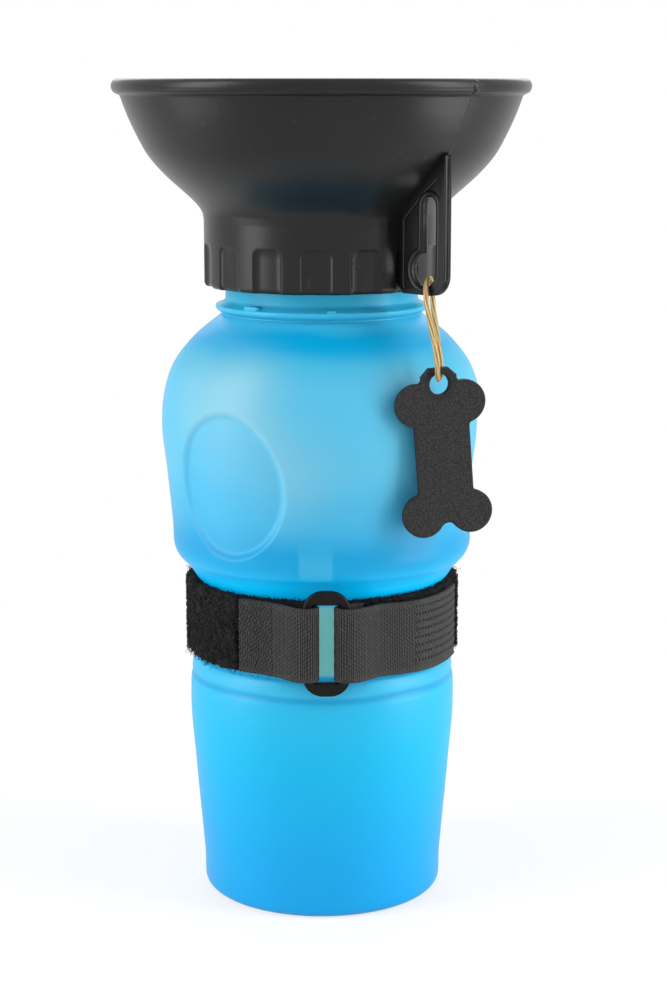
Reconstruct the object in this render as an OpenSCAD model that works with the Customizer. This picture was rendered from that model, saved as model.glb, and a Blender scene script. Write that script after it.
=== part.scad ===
// Squeeze bottle with a drinking bowl screwed on top, for walks with a dog.
// Squeezing the bottle sends water up the tube into the bowl, and letting go drains it back.
// Millimetres. The origin is the middle of the base, +Z is up, and the view of the photograph
// looks along +Y. An azimuth of 0 points at the viewer and grows towards the viewer's right.

/* [Bottle] */
// Thickness of the blow-moulded wall
bottle_wall = 1.2; // [1:0.1:1.5]
// Radius at the widest part of the upper body
bulge_r = 41; // [40:0.1:41.4]
// Radius of the waist that holds the strap
waist_r = 31.8; // [31:0.1:32]
// Radius of the bare neck between the bead and the thread
neck_r = 24.5; // [24:0.1:24.8]
// Crest radius of the thread, drawn as a plain land
thread_r = 26.1; // [25.9:0.05:26.1]
// Number of oval grip panels round the upper body
panel_count = 3; // [1:1:3]
// Width of a grip panel, measured straight across
panel_w = 32; // [28:1:34]
// Height of a grip panel
panel_h = 37; // [30:1:38]
// Depth of a grip panel
panel_depth = 1.2; // [0.8:0.1:1.4]

/* [Bowl] */
// Height from the table to the rim
rim_z = 210; // [208:1:214]
// Outer radius of the rim
rim_r = 52.5; // [51.5:0.5:54]
// Radius of the rolled edge's own section
rim_roll = 1.6; // [1.3:0.1:1.8]
// Thickness of the moulded bowl
bowl_wall = 2.2; // [1.8:0.1:2.5]
// Outer radius of the screw collar
collar_r = 29.8; // [29.4:0.1:30.4]
// Height of the collar's lower edge
collar_z = 158.4; // [158:0.1:159]
// Number of grip flutes round the collar
flute_count = 15; // [10:1:18]
// Width of a flute
flute_w = 7.9; // [5:0.1:8.5]
// Depth of a flute
flute_depth = 0.8; // [0.4:0.1:1]

/* [Hanging fin] */
// Azimuth of the fin
fin_az = 42; // [30:1:60]
// Distance of the fin's outer edge from the axis
fin_reach = 45.3; // [45:0.1:46]
// Thickness of the web
fin_web = 1.5; // [1.2:0.1:1.8]
// Thickness of the raised edge
fin_edge = 2.4; // [2:0.1:2.6]
// Width of the keyhole's slot
slot_w = 4.4; // [4:0.1:4.6]
// Diameter of the keyhole's round end
hole_d = 8.2; // [7.6:0.1:8.4]

/* [Strap] */
// Width of the tape
strap_w = 19; // [17:0.5:19]
// Thickness of one bare layer of tape
tape_t = 1.2; // [1:0.1:1.2]
// Height of the tape's middle
strap_z = 74; // [73.8:0.1:74.2]
// Azimuth of the ring
ring_az = 2; // [-10:1:10]
// Width of the ring
ring_w = 11.8; // [11.6:0.1:12]
// Height of the ring
ring_h = 26.5; // [26.5:0.5:27]
// Thickness of the ring
ring_t = 2.2; // [1.8:0.1:2.2]

/* [Tag] */
// Thickness of the bone-shaped tag
tag_t = 2.2; // [2:0.1:2.5]
// Radius of the bone's round ends
lobe_r = 5.3; // [5:0.05:5.5]
// Width of the bone's shaft
shaft_w = 13.7; // [12:0.1:14]
// Diameter of the tag's hole
tag_hole_d = 5; // [4.8:0.1:5.2]
// Diameter of the elastic cord
cord_d = 1.3; // [1:0.1:1.3]

/* [Hidden] */
$fn = 96;

// Curve helpers

// One point of a smooth curve between b and c
function curve_point(a, b, c, d, t) =
    0.5 * (2 * b + (c - a) * t + (2 * a - 5 * b + 4 * c - d) * t * t
    + (3 * b - a - 3 * c + d) * t * t * t);
// A smooth curve through hand-set points, with n steps between two of them
function smooth_line(p, n) = concat(
    [for (i = [0 : len(p) - 2], k = [0 : n - 1])
        curve_point(p[max(i - 1, 0)], p[i], p[i + 1], p[min(i + 2, len(p) - 1)], k / n)],
    [p[len(p) - 1]]);
// Direction of a line at its point i
function along(p, i) =
    let (v = p[min(i + 1, len(p) - 1)] - p[max(i - 1, 0)]) v / norm(v);
// The same line moved t to its left
function shifted(p, t) =
    [for (i = [0 : len(p) - 1]) p[i] + t * [-along(p, i).y, along(p, i).x]];
// Points of an arc about c
function arc(c, r, a0, a1, n) =
    [for (k = [0 : n]) c + r * [cos(a0 + (a1 - a0) * k / n), sin(a0 + (a1 - a0) * k / n)]];
// A place in plan, from an azimuth and a distance from the axis
function plan(az, r) = [r * sin(az), -r * cos(az)];
// A place at a height, r from the axis along an azimuth and q beyond that line
function beside(az, r, q, z) = [r * sin(az) + q * cos(az), -r * cos(az) + q * sin(az), z];
function reversed(p) = [for (i = [len(p) - 1 : -1 : 0]) p[i]];
// The inner points of a slack run from a to b in n steps, upright at both ends
function slack(a, b, lead, n) =
    [for (i = [1 : n - 1]) let (t = i / n, l = [0, 0, lead])
        pow(1 - t, 3) * a + 3 * pow(1 - t, 2) * t * (a + l) + 3 * (1 - t) * t * t * (b - l)
        + pow(t, 3) * b];
// Outline of a rectangle with round corners
function round_rect(w, h, r, n) = concat(
    arc([w / 2 - r, h / 2 - r], r, 0, 90, n), arc([r - w / 2, h / 2 - r], r, 90, 180, n),
    arc([r - w / 2, r - h / 2], r, 180, 270, n), arc([w / 2 - r, r - h / 2], r, 270, 360, n));

// Bottle: the outer line of its section, from the middle of the base to the neck
foot_line = smooth_line([[0, 3.4], [14, 3.1], [22, 1.9], [25.6, 0.3]], 3);
heel_line = arc([28, 3], 3, 270, 355, 5);
waist_low = strap_z - 10.4;
waist_high = strap_z + 9.9;
lower_line = smooth_line([[31.1, 8.7], [31.7, 16], [32.6, 26], [33.4, 36], [34.3, 47],
    [34.3, 56], [33.2, waist_low - 1]], 3);
// A flat band cuts off the upper body's lower edge, and its two sides show as lines
band_low = [34.4, 86.7];
band_high = [37.3, 89.8];
upper_line = concat([[32.7, waist_high + 0.2], band_low], smooth_line([band_high, [38.3, 92.5],
    [38.6, 98.5], [bulge_r - 1.1, 112], [bulge_r, 122], [bulge_r - 0.6, 131], [37.9, 138.7],
    [32.8, 145.3], [26.6, 150.5]], 4));
body_line = concat(foot_line, [[26.4, 0]], heel_line, lower_line, [[waist_r, waist_low]],
    [[waist_r, waist_high]], upper_line);
neck_wall = 1.6;
bead_z = 153.9;
bead_r = 27;
land_low = 161;
lip_z = 171;
neck_line = [[25.4, 151.9], [bead_r - 0.2, bead_z - 1.2], [bead_r, bead_z - 0.8],
    [bead_r, bead_z - 0.3], [bead_r - 0.3, bead_z], [neck_r, bead_z + 1], [neck_r, land_low - 0.8],
    [thread_r, land_low], [thread_r, lip_z - 2.4], [neck_r + 0.6, lip_z - 1.6],
    [neck_r + 0.6, lip_z]];
bore_r = neck_r - neck_wall;
// Small stops on top of the bead, each with its azimuth, its width and its height over the bead
bead_stops = [[-41, 5, 0.9], [5.6, 2.4, 0.4]];
panel_z = 112;
panel_az = -36;
panel_step = 360 / panel_count;
// Width of the sloping step round a grip panel
panel_slope = 1;

// Bowl
bowl_line = smooth_line([[rim_r - 1.9, rim_z - 3.4], [48.6, 201], [46.3, 196], [43.5, 191],
    [39.2, 186.1], [32.9, 180.4], [30.4, 177.4], [collar_r, 175]], 4);
floor_z = 172.2;
floor_t = 2.6;
collar_clearance = 0.05;
socket_r = 6.4;
tube_r = 4;
tube_bore = 3;
tube_low = 8;
tube_top = 170.4;
socket_low = 163;
flute_top = 169.3;
flute_corner = 2.1;
flute_az = -2.3;
spout_r = 5.4;
spout_top = 178;

// Fin: its slot runs up from the round end, and their outer sides share one line
slot_out = 41.9;
slot_top = 182.1;
hole_mid = [slot_out - hole_d / 2, 164.5];
fin_low = 158.5;
fin_corner = 5;
fin_high = 192.2;
lip_w = 1.8;

// Strap, in the ring's own direction: the ring is flat and stands off the bottle's shoulder
ring_r = 37.65;
ring_side = 2.4;
ring_end = 3.5;
bar_x = (ring_w - ring_side) / 2;
wrap_r = 1.7 + tape_t / 2;
band_in = waist_r + 0.3;
band_under = 33.2;
pile_r = 35.3;
fold_r = 33.5 + tape_t / 2;
fold_end = 78;
tail_r = 34.2 + tape_t / 2;
tail_end = 37.4;
hook_in = band_under + 0.3;
hook_gap = 0.06;
hook_start = 26;
// How far round the full pile reaches towards the tail's end
pile_start = tail_end + 1.5;

// Tag and cord, the places as seen in the photograph
tag_at = [28.25, -36, 137.9];
tag_az = 14;
tag_roll = 4.4;
lobe_x = 5.95;
lobe_top = -4.75;
lobe_low = -31.8;
// The lug round the hole: its width, its height over the hole's middle and its cut corners
lug_w = 8.8;
lug_top = 4;
lug_cut = 2;
// Radius of the notch between the lower two round ends
notch_r = 2;
// The cord makes two easy arches, over the fin's bar and through the tag's hole. Each has a
// middle and a half span that points to the back: along the fin and beside it, then x and y
over_bar = [38.9, 0.05, 159.9];
bar_span = [-1.3, 2.35];
under_lug = [28.3, -36, 141.65];
lug_span = [0.5, 2.57];
knot_r = 1.3;
knot_gap = 0.1;
function over(a) = beside(fin_az, over_bar.x + bar_span.x * cos(a),
    over_bar.y + bar_span.y * cos(a), over_bar.z + norm(bar_span) * sin(a));
function under(a) = under_lug - [lug_span.x * cos(a), lug_span.y * cos(a), norm(lug_span) * sin(a)];
// The knot closes the rear end of the upper arch
arch_start = over(30);
knot_at = arch_start + (knot_r + knot_gap) * (over(29) - arch_start) / norm(over(29) - arch_start);
cord_end = knot_at - [0, 0, knot_r + knot_gap];
cord_route = concat([for (a = [30 : 30 : 180]) over(a)], slack(over(180), under(0), -5, 15),
    [for (a = [0 : 30 : 180]) under(a)], slack(under(180), cord_end, 5, 13), [cord_end]);
cord_sides = 8;

// Shared shapes

// A solid of revolution from the outer line of its section
module turned(line) {
    rotate_extrude()
        polygon(concat(line, [[0, line[len(line) - 1].y], [0, line[0].y]]));
}

// A bar that points along the viewer's direction, turned to an azimuth
module towards(az) {
    rotate([0, 0, az])
        rotate([90, 0, 0])
            children();
}

// A plate in the upright plane of the fin, of thickness t, from points (distance, height)
module fin_plate(points, t) {
    rotate([0, 0, fin_az - 90])
        rotate([90, 0, 0])
            translate([0, 0, -t / 2])
                linear_extrude(t)
                    polygon(points);
}

// A round plug through the fin
module fin_plug(mid, r, t) {
    rotate([0, 0, fin_az - 90])
        translate([mid.x, 0, mid.y])
            rotate([90, 0, 0])
                cylinder(h = t, r = r, center = true);
}

// Tape standing on edge: a ribbon of thickness t along a line in plan
module ribbon(line, t, h) {
    translate([0, 0, strap_z - h / 2])
        linear_extrude(h)
            polygon(concat(shifted(line, t / 2), reversed(shifted(line, -t / 2))));
}

// Bottle

// Ellipse of a grip panel, grown by g on each side, with no corner at its widest height
function oval(g) =
    [for (a = [5 : 10 : 359]) [(panel_w / 2 + g) * cos(a), (panel_h / 2 + g) * sin(a)]];

// What a grip panel takes off a body of revolution: all that lies deeper than d
module panel_cut(line, g, d) {
    for (i = [0 : panel_count - 1])
        difference() {
            towards(panel_az + i * panel_step)
                translate([0, panel_z, 25])
                    linear_extrude(25)
                        polygon(oval(g));
            turned(shifted(line, d));
        }
}

module bottle() {
    inner_line = shifted(body_line, bottle_wall);
    upper_inner = shifted(upper_line, bottle_wall);
    color([0.16, 0.66, 0.92])
        difference() {
            turned(concat(body_line, neck_line));
            panel_cut(upper_line, 0, panel_depth / 2);
            panel_cut(upper_line, -panel_slope, panel_depth);
            difference() {
                turned(concat(inner_line, [[bore_r, 153.2], [bore_r, lip_z + 1]]));
                panel_cut(upper_inner, bottle_wall, panel_depth);
            }
        }
    color([0.16, 0.66, 0.92])
        for (stop = bead_stops)
            towards(stop[0])
                translate([-stop[1] / 2, bead_z - 0.5, neck_r - 0.4])
                    cube([stop[1], stop[2] + 0.5, 2.7]);
}

// Bowl

// The flutes, with round corners at their tops and open at the collar's lower edge
module flute_cut() {
    corner_x = flute_w / 2 - flute_corner;
    corner_y = flute_top - flute_corner;
    outline = concat(arc([corner_x, corner_y], flute_corner, 0, 90, 4),
        arc([-corner_x, corner_y], flute_corner, 90, 180, 4),
        [[-flute_w / 2, collar_z - 1], [flute_w / 2, collar_z - 1]]);
    difference() {
        for (i = [0 : flute_count - 1])
            towards(flute_az + i * 360 / flute_count)
                translate([0, 0, 24])
                    linear_extrude(8)
                        polygon(outline);
        cylinder(h = 200, r = collar_r - flute_depth);
    }
}

module keyhole(g, t) {
    mid = slot_out - slot_w / 2;
    top = slot_top - slot_w / 2;
    fin_plug(hole_mid, hole_d / 2 + g, t);
    fin_plug([mid, top], slot_w / 2 + g, t);
    fin_plate([[mid - slot_w / 2 - g, hole_mid.y], [slot_out + g, hole_mid.y],
        [slot_out + g, top], [mid - slot_w / 2 - g, top]], t);
}

module fin() {
    root = [for (p = shifted(bowl_line, -1)) if (p.y < fin_high - 0.4) p];
    outline = concat(root, [[collar_r - 1, 161], [collar_r + 0.8, fin_low]],
        arc([fin_reach - fin_corner, fin_low + fin_corner], fin_corner, 270, 360, 8),
        [[fin_reach, fin_high]]);
    pocket = [[31.3, 160], [hole_mid.x, 160], [hole_mid.x, 170], [fin_reach - 1.7, 180],
        [fin_reach - 1.7, 187.2], [40.6, 184.8], [38.4, 183.2], [35.1, 180], [31.3, 176.5]];
    difference() {
        union() {
            fin_plate(outline, fin_web);
            difference() {
                fin_plate(outline, fin_edge);
                fin_plate(pocket, fin_edge + 1);
            }
            keyhole(lip_w, fin_edge);
        }
        keyhole(0, 6);
    }
}

module bowl() {
    inner = shifted(bowl_line, -bowl_wall);
    roll_mid = [rim_r - rim_roll, rim_z - rim_roll];
    section = concat(
        [[tube_bore, spout_top], [tube_bore, tube_top + 0.1], [tube_r + collar_clearance, tube_top + 0.1],
        [tube_r + collar_clearance, socket_low], [socket_r, socket_low], [socket_r, floor_z],
        [thread_r + collar_clearance, floor_z], [thread_r + collar_clearance, collar_z + 0.6],
        [thread_r + 0.7, collar_z], [collar_r - 1.2, collar_z], [collar_r, collar_z + 1.2]],
        reversed(bowl_line),
        arc(roll_mid, rim_roll, -70, 205, 14),
        [for (p = inner) if (p.y > floor_z + floor_t + 1.5 && p.y < rim_z - 4) p],
        [[collar_r - bowl_wall - 0.9, floor_z + floor_t], [spout_r, floor_z + floor_t],
        [spout_r, spout_top]]);
    color([0.2, 0.2, 0.2]) {
        difference() {
            rotate_extrude()
                polygon(section);
            flute_cut();
        }
        fin();
    }
}

// Flat ring between the bottle's lip and the bowl's floor
module seal_ring() {
    color([0.85, 0.85, 0.82])
        translate([0, 0, lip_z + 0.05])
            difference() {
                cylinder(h = floor_z - lip_z - 0.1, r = thread_r - 0.3);
                translate([0, 0, -1])
                    cylinder(h = 4, r = bore_r + 0.2);
            }
}

// Tube that brings the water up, cut slanting at its foot
module dip_tube() {
    color([0.9, 0.92, 0.94])
        difference() {
            translate([0, 0, tube_low])
                cylinder(h = tube_top - tube_low, r = tube_r);
            translate([0, 0, tube_low - 1])
                cylinder(h = tube_top - tube_low + 2, r = tube_bore);
            translate([0, 0, tube_low + tube_r * tan(30)])
                rotate([0, -30, 0])
                    translate([-20, -20, -20])
                        cube([40, 40, 20]);
        }
}

// Cap that spreads the water sideways
module flow_cap() {
    cap_r = 7.4;
    shade = spout_top + 3.4;
    section = concat([[spout_r + 0.02, floor_z + floor_t + 0.4], [cap_r, floor_z + floor_t + 0.4],
        [cap_r, shade]], arc([cap_r - 3, shade], 3, 0, 70, 5), [[0, shade + 3.4], [0, shade],
        [spout_r + 0.02, shade]]);
    color([0.2, 0.2, 0.2])
        difference() {
            rotate_extrude()
                polygon(section);
            for (a = [0, 90])
                rotate([0, 0, a])
                    translate([-10, -1.8, spout_top + 0.2])
                        cube([20, 3.6, 3]);
        }
}

// Strap

// Outer radius of the band at a local azimuth: thin under the folds, full pile elsewhere
function band_out(a) =
    a < fold_end + 1 ? 33.4 :
    a > 360 - 9 ? 34.3 :
    a > 360 - 16 ? band_under + (a - 344) / 7 * 1.1 :
    a > 360 - pile_start ? band_under : pile_r;

// Azimuths at which the band's outline has a point
band_stops = concat([6], [for (a = [12 : 6 : 78]) a], [fold_end + 0.9, fold_end + 1.1],
    [for (a = [84 : 6 : 318]) a], [360 - pile_start - 0.1, 360 - pile_start + 0.1],
    [326, 332, 338, 344, 351.1, 354]);

// A piece of the strap, turned to the ring's azimuth
module on_strap() {
    rotate([0, 0, ring_az])
        children();
}

module strap_band() {
    color([0.09, 0.09, 0.09])
        on_strap()
            translate([0, 0, strap_z - strap_w / 2])
                linear_extrude(strap_w)
                    polygon(concat([for (a = band_stops) plan(a, band_in)],
                        reversed([for (a = band_stops) plan(a, band_out(a))])));
}

// The line of a tape end: round the ring's bar, then back along the bottle to azimuth end
function fold_line(r, end) = concat(
    arc([bar_x, -ring_r], wrap_r, 90, 270, 12),
    smooth_line([plan(9.5, ring_r + wrap_r + 0.2), plan(12.5, 39.1), plan(17, 36.9),
        plan(22, r + 0.75), plan(27, r + 0.05), plan(32, r)], 3),
    [for (a = [36 : 4 : end - 1]) plan(a, r)], [plan(end, r)]);

module strap_fold() {
    back = smooth_line([plan(15.5, 34.05), plan(12, 34.2), plan(9.6, 34.9)], 3);
    color([0.17, 0.17, 0.18])
        on_strap()
            ribbon(concat(back, fold_line(fold_r, fold_end)), tape_t, strap_w);
}

module strap_tail() {
    color([0.17, 0.17, 0.18])
        on_strap()
            mirror([1, 0, 0])
                ribbon(fold_line(tail_r, tail_end), tape_t, strap_w);
}

// Hook tape sewn inside the tail's end, which grips the band's pile
module hook_patch() {
    hook_t = tail_r - tape_t / 2 - hook_gap - hook_in;
    color([0.12, 0.12, 0.12])
        on_strap()
            mirror([1, 0, 0])
                ribbon([for (a = [hook_start : 2.8 : tail_end - 0.2]) plan(a, hook_in + hook_t / 2)],
                    hook_t, strap_w - 1);
}

module strap_ring() {
    color([0.05, 0.05, 0.05])
        on_strap()
            translate([0, -ring_r, strap_z])
                rotate([90, 0, 0])
                    difference() {
                        for (s = [[0, 0.9], [0.25, 0.35], [0.5, 0]])
                            translate([0, 0, -ring_t / 2 + s.y])
                                linear_extrude(ring_t - 2 * s.y)
                                    polygon(round_rect(ring_w - 1 + 2 * s.x, ring_h - 1 + 2 * s.x,
                                        4.5 + s.x, 6));
                        translate([0, 0, -ring_t])
                            linear_extrude(2 * ring_t)
                                polygon(round_rect(ring_w - 2 * ring_side, ring_h - 2 * ring_end, 0.8, 4));
                    }
}

// Tag and its cord

// Sweeps a tube of flat faces along a line of points, without twisting it
module tube_along(p, r, sides) {
    n = len(p);
    dir = [for (i = [0 : n - 1]) let (v = p[min(i + 1, n - 1)] - p[max(i - 1, 0)]) v / norm(v)];
    side = [for (i = 0, s = cross(dir[0], [0, 0.6, 0.8]); i < n;
        i = i + 1, s = i < n ? s - dir[i] * (s * dir[i]) : s) s / norm(s)];
    ring = [for (i = [0 : n - 1], k = [0 : sides - 1])
        p[i] + r * (cos(360 * k / sides) * side[i] + sin(360 * k / sides) * cross(dir[i], side[i]))];
    walls = [for (i = [0 : n - 2], k = [0 : sides - 1]) let (j = (k + 1) % sides)
        each [[i * sides + k, i * sides + j, (i + 1) * sides + j],
            [i * sides + k, (i + 1) * sides + j, (i + 1) * sides + k]]];
    ends = [[for (k = [sides - 1 : -1 : 0]) k], [for (k = [0 : sides - 1]) (n - 1) * sides + k]];
    polyhedron(ring, [for (f = concat(walls, ends)) reversed(f)]);
}

module tag_cord() {
    color([0.84, 0.64, 0.33])
        tube_along(smooth_line(cord_route, 2), cord_d / 2, cord_sides);
}

// Knot behind the fin, where the two ends of the cord are tied
module cord_knot() {
    color([0.84, 0.64, 0.33])
        translate(knot_at)
            sphere(r = knot_r, $fn = 32);
}

// A pair of the bone's round ends, at height z
module lobes(z) {
    for (x = [-lobe_x, lobe_x])
        translate([x, z])
            circle(r = lobe_r, $fn = 32);
}

module bone_outline() {
    offset(r = -0.9, $fn = 32)
        offset(r = 0.9, $fn = 32)
            union() {
                lobes(lobe_top);
                offset(r = -notch_r, $fn = 32)
                    offset(r = notch_r, $fn = 32)
                        lobes(lobe_low);
                translate([-shaft_w / 2, lobe_low])
                    square([shaft_w, lobe_top - lobe_low]);
                polygon([[lug_w / 2, lobe_top], [lug_w / 2, lug_top - lug_cut],
                    [lug_w / 2 - lug_cut, lug_top], [lug_cut - lug_w / 2, lug_top],
                    [-lug_w / 2, lug_top - lug_cut], [-lug_w / 2, lobe_top]]);
            }
}

module bone_tag() {
    bevel = 0.4;
    color([0.13, 0.13, 0.13])
        translate(tag_at)
            rotate([0, 0, tag_az])
                rotate([90, 0, 0])
                    rotate([0, 0, tag_roll])
                        difference() {
                            union() {
                                translate([0, 0, -tag_t / 2 + bevel])
                                    linear_extrude(tag_t - 2 * bevel)
                                        bone_outline();
                                translate([0, 0, -tag_t / 2])
                                    linear_extrude(tag_t)
                                        offset(delta = -bevel)
                                            bone_outline();
                            }
                            translate([0, 0, -tag_t])
                                cylinder(h = 2 * tag_t, r = tag_hole_d / 2, $fn = 48);
                        }
}

bottle();
bowl();
seal_ring();
dip_tube();
flow_cap();
strap_band();
strap_fold();
strap_tail();
hook_patch();
strap_ring();
tag_cord();
cord_knot();
bone_tag();
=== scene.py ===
# %% [markdown]
# # A travel water bottle for a dog
#
# The bottle is squeezed, water climbs a tube into the bowl on top, and it drains
# back when the hand lets go. The solids, at their real size, come ready-made as a
# fixed frame. This lesson dresses them: each visible piece gets a finer mesh and a
# finish made of shader nodes. Lengths are in metres, +Z is up, and the camera looks
# along +Y, so the front of the bottle faces -Y.

# %% Load the frame
import math
import random

import bmesh
import bpy
import numpy as np
from mathutils import Matrix, Vector
from mathutils.geometry import tessellate_polygon


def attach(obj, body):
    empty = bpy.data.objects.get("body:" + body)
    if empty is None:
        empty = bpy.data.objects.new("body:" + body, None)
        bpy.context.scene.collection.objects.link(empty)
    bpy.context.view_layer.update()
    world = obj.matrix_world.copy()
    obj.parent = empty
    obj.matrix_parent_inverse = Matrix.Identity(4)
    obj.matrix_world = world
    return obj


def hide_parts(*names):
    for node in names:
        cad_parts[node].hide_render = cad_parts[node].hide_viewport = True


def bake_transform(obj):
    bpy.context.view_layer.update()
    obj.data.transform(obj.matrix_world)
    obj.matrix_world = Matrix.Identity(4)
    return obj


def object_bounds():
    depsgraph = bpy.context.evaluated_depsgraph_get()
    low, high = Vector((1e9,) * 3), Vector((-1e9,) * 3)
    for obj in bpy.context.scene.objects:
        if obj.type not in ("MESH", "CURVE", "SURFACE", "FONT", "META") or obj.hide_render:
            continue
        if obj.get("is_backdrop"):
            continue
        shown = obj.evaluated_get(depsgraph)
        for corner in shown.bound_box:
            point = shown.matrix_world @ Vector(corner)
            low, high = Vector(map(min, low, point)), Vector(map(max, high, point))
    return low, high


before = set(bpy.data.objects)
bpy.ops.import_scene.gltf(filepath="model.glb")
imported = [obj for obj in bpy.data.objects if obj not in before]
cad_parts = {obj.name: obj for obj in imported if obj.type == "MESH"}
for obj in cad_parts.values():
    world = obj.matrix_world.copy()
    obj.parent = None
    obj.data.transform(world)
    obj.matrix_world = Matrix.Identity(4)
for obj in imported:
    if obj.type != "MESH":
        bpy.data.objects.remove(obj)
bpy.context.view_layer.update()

# %% [markdown]
# ## Places on a round object
#
# Nearly everything here sits at some angle round the bottle's axis. An azimuth of 0
# points at the camera and grows to the right, so `around` turns an azimuth, a
# distance from the axis and a height into a point. Outlines are kept in
# millimetres, as a drawing would give them, and `MM` turns them into metres.

# %% Points and curves
MM = 0.001


def around(azimuth, radius, z):
    """The point at an azimuth in degrees, a radius and a height."""
    a = math.radians(azimuth)
    return Vector((radius * math.sin(a), -radius * math.cos(a), z))


def smooth_line(points, steps):
    """A smooth curve through given points, with so many steps between two of them."""
    p = [Vector(q) for q in points]
    line = []
    for i in range(len(p) - 1):
        a, b, c, d = p[max(i - 1, 0)], p[i], p[i + 1], p[min(i + 2, len(p) - 1)]
        for k in range(steps):
            t = k / steps
            line.append(0.5 * (2 * b + (c - a) * t + (2 * a - 5 * b + 4 * c - d) * t * t
                               + (3 * b - a - 3 * c + d) * t ** 3))
    return line + [p[-1]]


def arc(centre, radius, start, end, steps):
    """Points of an arc in a drawing, with its angles in degrees."""
    angles = [math.radians(start + (end - start) * k / steps) for k in range(steps + 1)]
    return [Vector((centre[0] + radius * math.cos(a), centre[1] + radius * math.sin(a)))
            for a in angles]


def shifted(line, distance):
    """The same drawn line moved to its left."""
    moved = []
    for i, p in enumerate(line):
        d = (line[min(i + 1, len(line) - 1)] - line[max(i - 1, 0)]).normalized()
        moved.append(p + distance * Vector((-d.y, d.x)))
    return moved


def resampled(line, step):
    """The same line with a point about every step of its length."""
    dense = [line[0]]
    for a, b in zip(line, line[1:]):
        count = max(1, math.ceil((b - a).length / step))
        dense += [a.lerp(b, k / count) for k in range(1, count + 1)]
    return dense


def ease(low, high, x):
    """0 below low, 1 above high, and a soft step between them, on numbers or arrays."""
    t = np.clip((np.asarray(x, float) - low) / (high - low), 0, 1)
    return t * t * (3 - 2 * t)


print("a quarter turn from the front:", [round(x, 3) for x in around(90, 1, 0)])

# %% [markdown]
# ## Turning numbers into pieces
#
# A turned form is a grid: one row for each point of its section and one column for
# each azimuth. `grid_piece` makes such a grid with numpy, which is quick enough for
# a hundred thousand faces. Each piece then rides on the body that carries it, gets its
# finish in its material slot and hides the plain solid that it stands for.

# %% Mesh helpers
def finish_piece(obj, body, finish, stands_for=()):
    """Gives a piece its finish and its place in the frame."""
    obj.data.materials.clear()
    obj.data.materials.append(finish)
    if body:
        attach(obj, body)
    if stands_for:
        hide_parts(*stands_for)
    return obj


def mesh_piece(name, points, faces):
    """An object made of points in metres and faces, with soft shading."""
    mesh = bpy.data.meshes.new(name)
    mesh.from_pydata([tuple(p) for p in points], [], faces)
    mesh.validate()
    for polygon in mesh.polygons:
        polygon.use_smooth = True
    obj = bpy.data.objects.new(name, mesh)
    bpy.context.scene.collection.objects.link(obj)
    return obj


def clean(obj):
    """Merges points that fall together and turns every face outwards."""
    together = 1e-7
    bm = bmesh.new()
    bm.from_mesh(obj.data)
    bmesh.ops.remove_doubles(bm, verts=bm.verts, dist=together)
    bmesh.ops.dissolve_degenerate(bm, edges=bm.edges, dist=together)
    bmesh.ops.recalc_face_normals(bm, faces=bm.faces)
    bm.to_mesh(obj.data)
    bm.free()
    return obj


def grid_piece(name, grid, close_rows=True):
    """An object from an array of rows of points, joined into quads. Its columns close to a ring."""
    rows, columns = grid.shape[:2]
    number = np.arange(rows * columns).reshape(rows, columns)
    a = number if close_rows else number[:-1]
    b = np.roll(number, -1, 0) if close_rows else number[1:]
    quads = np.stack([a, np.roll(a, -1, 1), np.roll(b, -1, 1), b], -1)
    return mesh_piece(name, grid.reshape(-1, 3), quads.reshape(-1, 4).tolist())


def turned_grid(section, columns, change=None):
    """A section in mm, turned round the axis. change(azimuth, radius, height) gives new radii."""
    azimuth = np.linspace(0, 360, columns, endpoint=False)
    radius = np.array([p[0] for p in section])[:, None] + 0 * azimuth
    height = np.array([p[1] for p in section])[:, None] + 0 * azimuth
    azimuth = azimuth + 0 * height
    if change:
        radius = change(azimuth, radius, height)
    a = np.radians(azimuth)
    return MM * np.stack([radius * np.sin(a), -radius * np.cos(a), height], -1)


def report(obj):
    """Says how large a mesh is."""
    print(f"{obj.name}: {len(obj.data.vertices)} points, {len(obj.data.polygons)} faces")
    return obj


print("helpers are ready")

# %% [markdown]
# ## Camera and cords first
#
# The photograph was taken from the rim's height, about 56 cm away and tilted down by
# 10.8 degrees: the rim is seen edge-on as a straight line, and the foot as a curve.
# The frame of the picture is upright, 667 by 1000, so the lens is given over its
# height.

# %% Camera
TILT = 10.8
camera_data = bpy.data.cameras.new("camera")
camera_data.sensor_fit = "VERTICAL"
camera_data.sensor_height = 36
camera_data.lens = 79.2
camera_data.clip_start = 0.01
camera = bpy.data.objects.new("camera", camera_data)
camera.location = (0.003, -0.560, 0.2095)
camera.rotation_euler = (math.radians(90 - TILT), 0, 0)
bpy.context.scene.collection.objects.link(camera)
bpy.context.scene.camera = camera
print("camera", tuple(camera.location))

# %% [markdown]
# ## Writing shaders as sums
#
# A material is a graph of nodes, but most of what it says is arithmetic. The class
# `Socket` wraps one output of a node and overloads the operators, so that
# `1 - mask * 0.3` adds the Math nodes by itself. Colours go through Mix, because a
# Math node would turn them grey, and `Finish` makes any other node from its type,
# its settings and the values of its sockets. Some nodes have several sockets of one
# name, such as the two shaders of a Mix Shader, and a list fills those in turn.

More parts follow.
